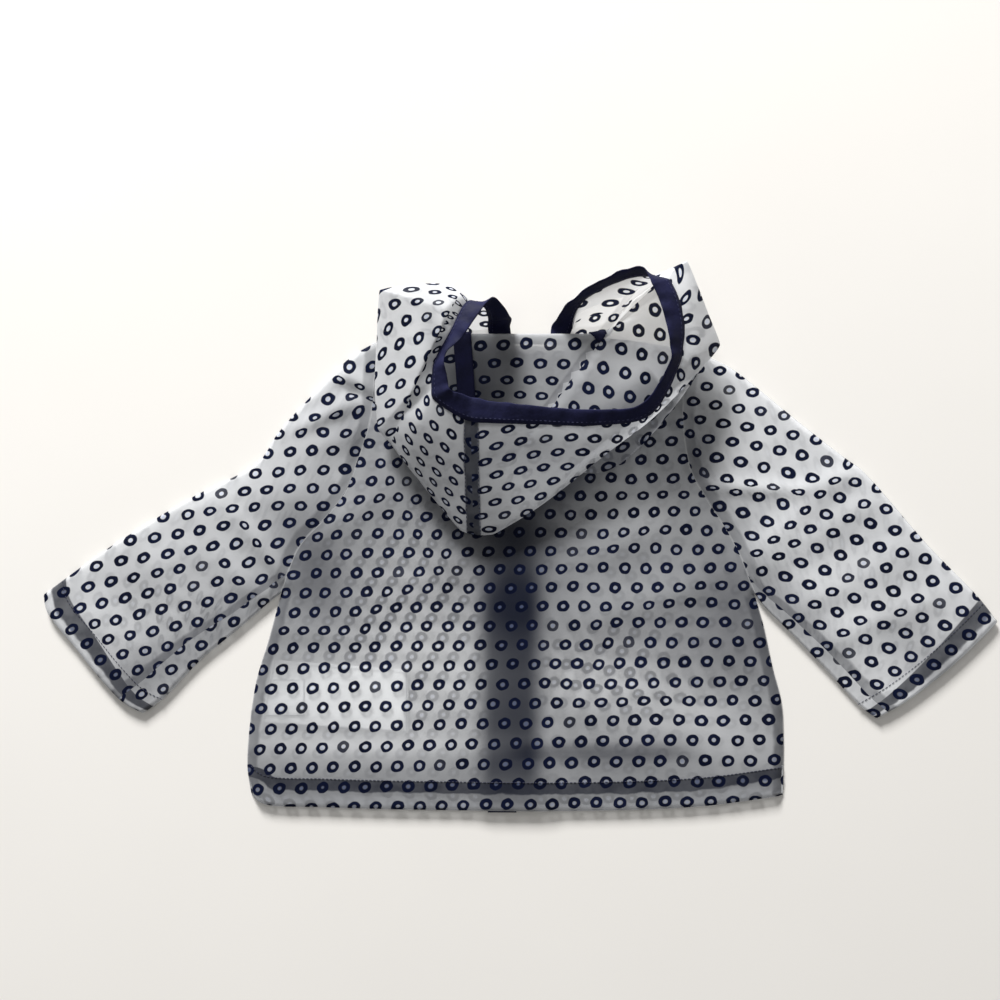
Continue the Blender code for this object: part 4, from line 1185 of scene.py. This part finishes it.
def make_stitches(name, line, group, thread, spacing=3.0, length=2.5, width=0.6):
    """A row of stitches along a line given in mm."""
    mesh = bpy.data.meshes.new(name)
    place = (line - BASE_MIDDLE) * MM
    mesh.from_pydata(place.tolist(), [(k, k + 1) for k in range(len(line) - 1)], [])
    thing = bpy.data.objects.new(name, mesh)
    bpy.context.scene.collection.objects.link(thing)
    rows = thing.modifiers.new("Stitches", "NODES")
    rows.node_group = group
    wanted = {"Spacing": spacing * MM, "Stitch length": length * MM, "Thread width": width * MM,
              "Thread": thread}
    for item in group.interface.items_tree:
        if item.in_out == "INPUT" and item.name in wanted:
            rows[item.identifier] = wanted[item.name]
    return plain(thing)


# ---------------------------------------------------------------- finishes

def fresh_material(name):
    made = bpy.data.materials.new(name)
    made.use_nodes = True
    made.node_tree.nodes.clear()
    return made, made.node_tree


def node(tree, kind, inputs=None, **settings):
    """Add a node, set its settings, and set or link its inputs by name or number."""
    made = tree.nodes.new(kind)
    for key, value in settings.items():
        setattr(made, key, value)
    for key, value in (inputs or {}).items():
        socket = made.inputs[key]
        if isinstance(value, bpy.types.NodeSocket):
            tree.links.new(value, socket)
        else:
            socket.default_value = value
    return made


def calc(tree, operation, *values):
    inputs = {k: v for k, v in enumerate(values)}
    return node(tree, "ShaderNodeMath", inputs, operation=operation).outputs[0]


def ramp(tree, value, low, high, start=0.0, end=1.0):
    inputs = {"Value": value, "From Min": low, "From Max": high, "To Min": start, "To Max": end}
    made = node(tree, "ShaderNodeMapRange", inputs, interpolation_type="SMOOTHSTEP")
    return made.outputs["Result"]


def blended(tree, share, one, two):
    inputs = {0: share, 6: one, 7: two}
    return node(tree, "ShaderNodeMix", inputs, data_type="RGBA").outputs[2]


def ring_print(tree):
    """Factors of the printed rings: ink, and the pale hole. Rows are offset by half a pitch."""
    uv = node(tree, "ShaderNodeUVMap", uv_map="print").outputs[0]
    uv_past = node(tree, "ShaderNodeUVMap", uv_map="print_past").outputs[0]
    past = calc(tree, "GREATER_THAN", cloth_mark(tree, "past"), 0.0)
    chosen = node(tree, "ShaderNodeMix", {0: past, 4: uv, 5: uv_past}, data_type="VECTOR")
    split = node(tree, "ShaderNodeSeparateXYZ", {0: chosen.outputs[1]})
    u, v = split.outputs[0], split.outputs[1]
    row = calc(tree, "FLOOR", calc(tree, "ADD", v, 0.5))
    odd = calc(tree, "PINGPONG", row, 1.0)
    across = calc(tree, "MULTIPLY_ADD", odd, 0.5, u)
    column = calc(tree, "FLOOR", calc(tree, "ADD", across, 0.5))
    cell = node(tree, "ShaderNodeCombineXYZ", {0: column, 1: row}).outputs[0]
    chance = node(tree, "ShaderNodeTexWhiteNoise", {"Vector": cell}, noise_dimensions="3D")
    parts = node(tree, "ShaderNodeSeparateColor", {0: chance.outputs["Color"]})
    first, second, third = parts.outputs[0], parts.outputs[1], parts.outputs[2]
    x = calc(tree, "MULTIPLY", calc(tree, "SUBTRACT", across, column), RING_PITCH)
    y = calc(tree, "MULTIPLY", calc(tree, "SUBTRACT", v, row), ROW_PITCH)
    x = calc(tree, "ADD", x, calc(tree, "SUBTRACT", first, 0.5))
    y = calc(tree, "ADD", y, calc(tree, "SUBTRACT", second, 0.5))
    stretch = calc(tree, "MULTIPLY_ADD", third, 0.14, 0.93)
    wide = calc(tree, "MULTIPLY", x, stretch)
    y = calc(tree, "MULTIPLY", calc(tree, "MULTIPLY_ADD", x, -0.12, y), RING_FLATTENING)
    far = node(tree, "ShaderNodeCombineXYZ", {0: wide, 1: y, 2: calc(tree, "MULTIPLY", first, 90.0)})
    length = node(tree, "ShaderNodeCombineXYZ", {0: wide, 1: y}).outputs[0]
    radius = node(tree, "ShaderNodeVectorMath", {0: length}, operation="LENGTH").outputs["Value"]
    wobble = node(tree, "ShaderNodeTexNoise", {"Vector": far.outputs[0], "Scale": 0.22, "Detail": 0.0})
    radius = calc(tree, "ADD", radius, calc(tree, "MULTIPLY_ADD", wobble.outputs["Fac"], 1.3, -0.65))
    hole_size = calc(tree, "MULTIPLY_ADD", second, 0.6, RING_HOLE - 0.3)
    inside = calc(tree, "SUBTRACT", radius, hole_size)
    ink = calc(tree, "MULTIPLY", ramp(tree, inside, -0.3, 0.3),
               ramp(tree, radius, RING_OUTER - 0.3, RING_OUTER + 0.3, 1.0, 0.0))
    hole = ramp(tree, inside, -0.8, -0.1, 1.0, 0.0)
    strength = ramp(tree, third, 0.93, 1.0, 0.998, 0.93)
    return calc(tree, "MULTIPLY", ink, strength), hole


def cloth_mark(tree, name):
    return node(tree, "ShaderNodeAttribute", attribute_name=name).outputs["Fac"]


def film_tones(tree, place):
    """How light the film looks: its painted shade, the turned-under hem edge and the seam strips, and a
    painted highlight along the seams.
    """
    uneven = node(tree, "ShaderNodeTexNoise", {"Vector": place, "Scale": 75.0, "Detail": 3.0})
    drift = calc(tree, "MULTIPLY_ADD", uneven.outputs["Fac"], 5.0, -2.5)
    hem, seam = cloth_mark(tree, "hem"), cloth_mark(tree, "seam")
    hem_end = calc(tree, "ADD", hem, drift)
    seam_end = calc(tree, "ADD", seam, drift)
    under_hem = calc(tree, "MULTIPLY", ramp(tree, hem, 0.1, 0.8),
                     ramp(tree, hem_end, HEM_TURN_UNDER - 1.2, HEM_TURN_UNDER + 0.6, 1.0, 0.0))
    strip = ramp(tree, seam_end, SEAM_ALLOWANCE - 2.2, SEAM_ALLOWANCE + 0.8, 1.0, 0.0)
    strip = calc(tree, "MULTIPLY", strip, cloth_mark(tree, "strip"))
    dark = calc(tree, "MAXIMUM", calc(tree, "MULTIPLY", under_hem, HEM_DARKNESS), strip)
    dark = calc(tree, "MULTIPLY", dark, ramp(tree, uneven.outputs["Fac"], 0.3, 0.7, 0.88, 1.06))
    light = calc(tree, "SUBTRACT", 1.0, cloth_mark(tree, "shade"))
    light = calc(tree, "MULTIPLY", light, calc(tree, "SUBTRACT", 1.0, dark))
    # Painted highlight: a pale line close along each seam.
    edge = ramp(tree, seam, 0.35, 0.9, 0.35, 0.0)
    return calc(tree, "POWER", light, 2.0), edge


def film_finish():
    """Frosted clear film with printed rings: clearer where it touches what lies under it, darkened by
    painted shade, with a painted highlight along its seams.
    """
    made, tree = fresh_material("Frosted film with rings")
    ink, hole = ring_print(tree)
    place = node(tree, "ShaderNodeTexCoord").outputs["Object"]
    light, edge = film_tones(tree, place)
    cloud = node(tree, "ShaderNodeTexNoise", {"Vector": place, "Scale": 26.0, "Detail": 3.0})
    cloudy = ramp(tree, cloud.outputs["Fac"], 0.25, 0.75)
    pale = blended(tree, cloudy, (0.82, 0.83, 0.845, 1), (0.91, 0.92, 0.935, 1))
    # Painted shade, with the darker hem and seam strips, takes the film and the ring holes towards
    # near-black blue.
    film = blended(tree, light, (0.016, 0.019, 0.033, 1), pale)
    # Painted highlight along the seams.
    film = blended(tree, edge, film, (0.85, 0.86, 0.86, 1))
    in_hole = blended(tree, light, (0.08, 0.10, 0.18, 1), (0.78, 0.83, 0.96, 1))
    coloured = blended(tree, hole, film, in_hole)
    ink_tone = blended(tree, cloudy, (0.003, 0.005, 0.018, 1), (0.006, 0.010, 0.036, 1))
    coloured = blended(tree, ink, coloured, ink_tone)
    cover = ramp(tree, cloth_mark(tree, "clear"), 0.0, 1.0, 0.76, 0.40)
    # The film hides more of what lies under it where its painted shade is dark.
    dark_cover = ramp(tree, light, 0.0, 0.75, 0.97, 0.40)
    cover = calc(tree, "MAXIMUM", cover, dark_cover)
    cover = calc(tree, "MAXIMUM", cover, calc(tree, "MULTIPLY", ink, 0.995))
    cover = calc(tree, "MAXIMUM", cover, calc(tree, "MULTIPLY", hole, 0.7))
    grain = node(tree, "ShaderNodeTexNoise", {"Vector": place, "Scale": 2600.0, "Detail": 2.0})
    waves = node(tree, "ShaderNodeTexNoise", {"Vector": place, "Scale": 38.0, "Detail": 2.0})
    soft = node(tree, "ShaderNodeBump", {"Height": waves.outputs["Fac"], "Strength": 0.3,
                                        "Distance": 0.003})
    fine = node(tree, "ShaderNodeBump", {"Height": grain.outputs["Fac"], "Strength": 0.08,
                                        "Distance": 0.0004, "Normal": soft.outputs[0]})
    rough = ramp(tree, grain.outputs["Fac"], 0.3, 0.7, 0.34, 0.46)
    solid = node(tree, "ShaderNodeBsdfPrincipled", {"Base Color": coloured, "Roughness": rough,
                                                   "Normal": fine.outputs[0]})
    solid.inputs["IOR"].default_value = 1.45
    solid.inputs["Specular IOR Level"].default_value = 0.05
    lit_through = node(tree, "ShaderNodeBsdfTranslucent", {"Color": coloured})
    body = node(tree, "ShaderNodeMixShader", {0: 0.3, 1: solid.outputs[0], 2: lit_through.outputs[0]})
    through = node(tree, "ShaderNodeBsdfTransparent", {"Color": (0.97, 0.975, 0.985, 1)})
    surface = node(tree, "ShaderNodeMixShader", {0: cover, 1: through.outputs[0], 2: body.outputs[0]})
    node(tree, "ShaderNodeOutputMaterial", {"Surface": surface.outputs[0]})
    return made


def woven_finish(name, colour, darker, rib=0.55, sheen=0.25):
    """Plain woven tape: fine ribs along and across its own length and width."""
    made, tree = fresh_material(name)
    uv = node(tree, "ShaderNodeUVMap", uv_map="print").outputs[0]
    place = node(tree, "ShaderNodeTexCoord").outputs["Object"]
    split = node(tree, "ShaderNodeSeparateXYZ", {0: uv})
    turn = 2 * math.pi / rib
    warp = calc(tree, "SINE", calc(tree, "MULTIPLY", split.outputs[0], turn))
    weft = calc(tree, "SINE", calc(tree, "MULTIPLY", split.outputs[1], turn))
    weave = calc(tree, "MULTIPLY_ADD", calc(tree, "MULTIPLY", warp, weft), 0.5, 0.5)
    cloud = node(tree, "ShaderNodeTexNoise", {"Vector": place, "Scale": 90.0, "Detail": 4.0})
    mottled = calc(tree, "MULTIPLY_ADD", ramp(tree, cloud.outputs["Fac"], 0.3, 0.7), 0.6,
                   calc(tree, "MULTIPLY", weave, 0.4))
    coloured = blended(tree, mottled, darker, colour)
    crease = node(tree, "ShaderNodeTexNoise", {"Vector": place, "Scale": 260.0, "Detail": 2.0})
    low = node(tree, "ShaderNodeBump", {"Height": crease.outputs["Fac"], "Strength": 0.5,
                                        "Distance": 0.0008})
    fine = node(tree, "ShaderNodeBump", {"Height": weave, "Strength": 0.4, "Distance": 0.0001,
                                        "Normal": low.outputs[0]})
    rough = ramp(tree, cloud.outputs["Fac"], 0.3, 0.7, 0.62, 0.8)
    solid = node(tree, "ShaderNodeBsdfPrincipled", {
        "Base Color": coloured, "Roughness": rough, "Normal": fine.outputs[0],
        "Sheen Weight": sheen, "Sheen Roughness": 0.4, "Specular IOR Level": 0.15})
    node(tree, "ShaderNodeOutputMaterial", {"Surface": solid.outputs[0]})
    return made


def moulded_finish(name, colour, rough):
    """Moulded plastic with faint speckle and wear."""
    made, tree = fresh_material(name)
    place = node(tree, "ShaderNodeTexCoord").outputs["Object"]
    speck = node(tree, "ShaderNodeTexNoise", {"Vector": place, "Scale": 700.0, "Detail": 3.0})
    tone = ramp(tree, speck.outputs["Fac"], 0.3, 0.7, 0.0, 1.0)
    lighter = tuple(min(1.0, c * 1.5 + 0.01) for c in colour[:3]) + (1,)
    coloured = blended(tree, tone, colour, lighter)
    bump = node(tree, "ShaderNodeBump", {"Height": speck.outputs["Fac"], "Strength": 0.15,
                                         "Distance": 0.0002})
    worn = ramp(tree, speck.outputs["Fac"], 0.3, 0.7, rough, rough + 0.15)
    solid = node(tree, "ShaderNodeBsdfPrincipled", {
        "Base Color": coloured, "Roughness": worn, "Normal": bump.outputs[0]})
    node(tree, "ShaderNodeOutputMaterial", {"Surface": solid.outputs[0]})
    return made


def floor_finish():
    made, tree = fresh_material("Plain pale floor")
    place = node(tree, "ShaderNodeTexCoord").outputs["Object"]
    tone = node(tree, "ShaderNodeTexNoise", {"Vector": place, "Scale": 6.0, "Detail": 3.0})
    coloured = blended(tree, tone.outputs["Fac"], (0.80, 0.775, 0.735, 1), (0.83, 0.805, 0.765, 1))
    solid = node(tree, "ShaderNodeBsdfPrincipled", {"Base Color": coloured, "Roughness": 0.8})
    node(tree, "ShaderNodeOutputMaterial", {"Surface": solid.outputs[0]})
    return made


# ---------------------------------------------------------------- stage

CAMERA_PLACE = (-16.15, 31.35, 1150.0)
CAMERA_FIELD = 770.0


def make_stage():
    bpy.ops.mesh.primitive_plane_add(size=6.0, location=(0, 0, -0.0004))
    floor = bpy.context.object
    floor.name = "floor"
    floor.data.materials.append(floor_finish())
    camera = bpy.data.objects.new("camera", bpy.data.cameras.new("camera"))
    bpy.context.scene.collection.objects.link(camera)
    camera.location = [value * MM for value in CAMERA_PLACE]
    camera.data.lens = camera.data.sensor_width * CAMERA_PLACE[2] / CAMERA_FIELD
    bpy.context.scene.camera = camera
    lamps = (("window", (-1.2, 4.0, 1.8), 1.2, 424.0), ("room", (-0.4, 0.3, 2.2), 2.4, 7.0))
    for name, place, size, power in lamps:
        light = bpy.data.lights.new(name, "AREA")
        light.size = size
        light.energy = power
        lamp = bpy.data.objects.new(name, light)
        bpy.context.scene.collection.objects.link(lamp)
        lamp.location = place
        aim = -np.array(place, float)
        lamp.rotation_euler = (math.atan2(math.hypot(aim[0], aim[1]), -aim[2]), 0,
                               math.atan2(aim[1], aim[0]) - math.pi / 2)
    world = bpy.data.worlds.new("room light")
    bpy.context.scene.world = world
    world.use_nodes = True
    world.node_tree.nodes["Background"].inputs["Color"].default_value = (0.98, 0.98, 0.97, 1)
    world.node_tree.nodes["Background"].inputs["Strength"].default_value = 0.22
    bpy.context.scene.view_settings.view_transform = "Standard"


# ---------------------------------------------------------------- the coat

LEFT_SLEEVE = ("left", LEFT_ARMHOLE, LEFT_SLEEVE_TOP, LEFT_SLEEVE_LOW, LEFT_CUFF)
RIGHT_SLEEVE = ("right", RIGHT_ARMHOLE, RIGHT_SLEEVE_TOP, RIGHT_SLEEVE_LOW, RIGHT_CUFF)


def make_film_pieces(grid, film):
    back = make_back(film)
    front_left, front_right = make_front("left", film), make_front("right", film)
    sleeve_left, sleeve_right = make_sleeve(*LEFT_SLEEVE, film), make_sleeve(*RIGHT_SLEEVE, film)
    hood_left, hood_right = make_hood_half("left", grid, film), make_hood_half("right", grid, film)
    return [back, front_left, front_right, sleeve_left, sleeve_right, hood_left, hood_right]


def make_tapes(grid, navy):
    return [make_binding(grid, navy), make_seam_tape(grid, navy), make_neck_tape(grid, navy),
            make_placket("placket_outer", OVER_PLACKET, "placket_over", navy),
            make_placket("placket_inner", UNDER_PLACKET, "placket_under", navy)]


def make_labels(white):
    large = make_label("label_large", CARE_LABEL, LABEL_HEIGHT, white)
    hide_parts("care_label")
    return [large, make_label("label_small", SIZE_TAB, LABEL_HEIGHT + 0.6, white)]


def make_all_stitches(grid):
    group = stitch_group()
    dark = moulded_finish("Navy thread", (0.012, 0.014, 0.035, 1), 0.6)
    rows = {"back_hem_stitches": back_hem_stitches(),
            "cuff_left_stitches": cuff_stitches(*LEFT_SLEEVE),
            "cuff_right_stitches": cuff_stitches(*RIGHT_SLEEVE),
            "crown_left_stitches": centre_seam_stitches(grid, -SEAM_TAPE_WIDTH / 2 + 0.6),
            "crown_right_stitches": centre_seam_stitches(grid, SEAM_TAPE_WIDTH / 2 - 0.6)}
    made = [make_stitches(name, line, group, dark) for name, line in rows.items()]
    labels = (("label_large_stitches", CARE_LABEL, 0.8), ("label_small_stitches", SIZE_TAB, 0.6))
    for name, outline, inset in labels:
        line = label_outline(outline, inset)
        made.append(make_stitches(name, line, group, dark, spacing=1.5, length=1.5, width=0.5))
    blue = moulded_finish("Blue thread", (0.016, 0.018, 0.060, 1), 0.6)
    for name, face in (("binding_stitches_one", 1), ("binding_stitches_two", -1)):
        made.append(make_stitches(name, binding_stitches(grid, face), group, blue, spacing=3.4,
                                  length=2.3, width=0.45))
    return made


def make_coat(frame):
    film = film_finish()
    navy = woven_finish("Navy woven tape", (0.013, 0.014, 0.052, 1), (0.004, 0.005, 0.022, 1),
                        sheen=0.02)
    white = woven_finish("White label weave", (0.88, 0.88, 0.87, 1), (0.76, 0.76, 0.75, 1), rib=0.4)
    snap_finish = moulded_finish("Navy snap", (0.03, 0.035, 0.09, 1), 0.35)
    grid = hood_grid()
    kinds = {"film": make_film_pieces(grid, film), "tape": make_tapes(grid, navy),
             "label": make_labels(white)}
    stitches = make_all_stitches(grid)
    for kind, pieces in kinds.items():
        for piece in pieces:
            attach(piece, "root")
    for piece in stitches:
        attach(piece, "root")
    for name, thing in frame["nodes"].items():
        if name.startswith("snap_"):
            thing.data.materials.clear()
            thing.data.materials.append(snap_finish)


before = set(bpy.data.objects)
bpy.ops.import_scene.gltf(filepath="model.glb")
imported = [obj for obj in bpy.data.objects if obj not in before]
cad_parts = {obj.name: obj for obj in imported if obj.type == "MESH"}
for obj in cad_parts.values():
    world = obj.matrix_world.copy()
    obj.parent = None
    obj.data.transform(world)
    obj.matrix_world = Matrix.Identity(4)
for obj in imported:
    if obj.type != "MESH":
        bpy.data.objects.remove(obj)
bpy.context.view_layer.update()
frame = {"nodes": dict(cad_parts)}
make_coat(frame)
make_stage()
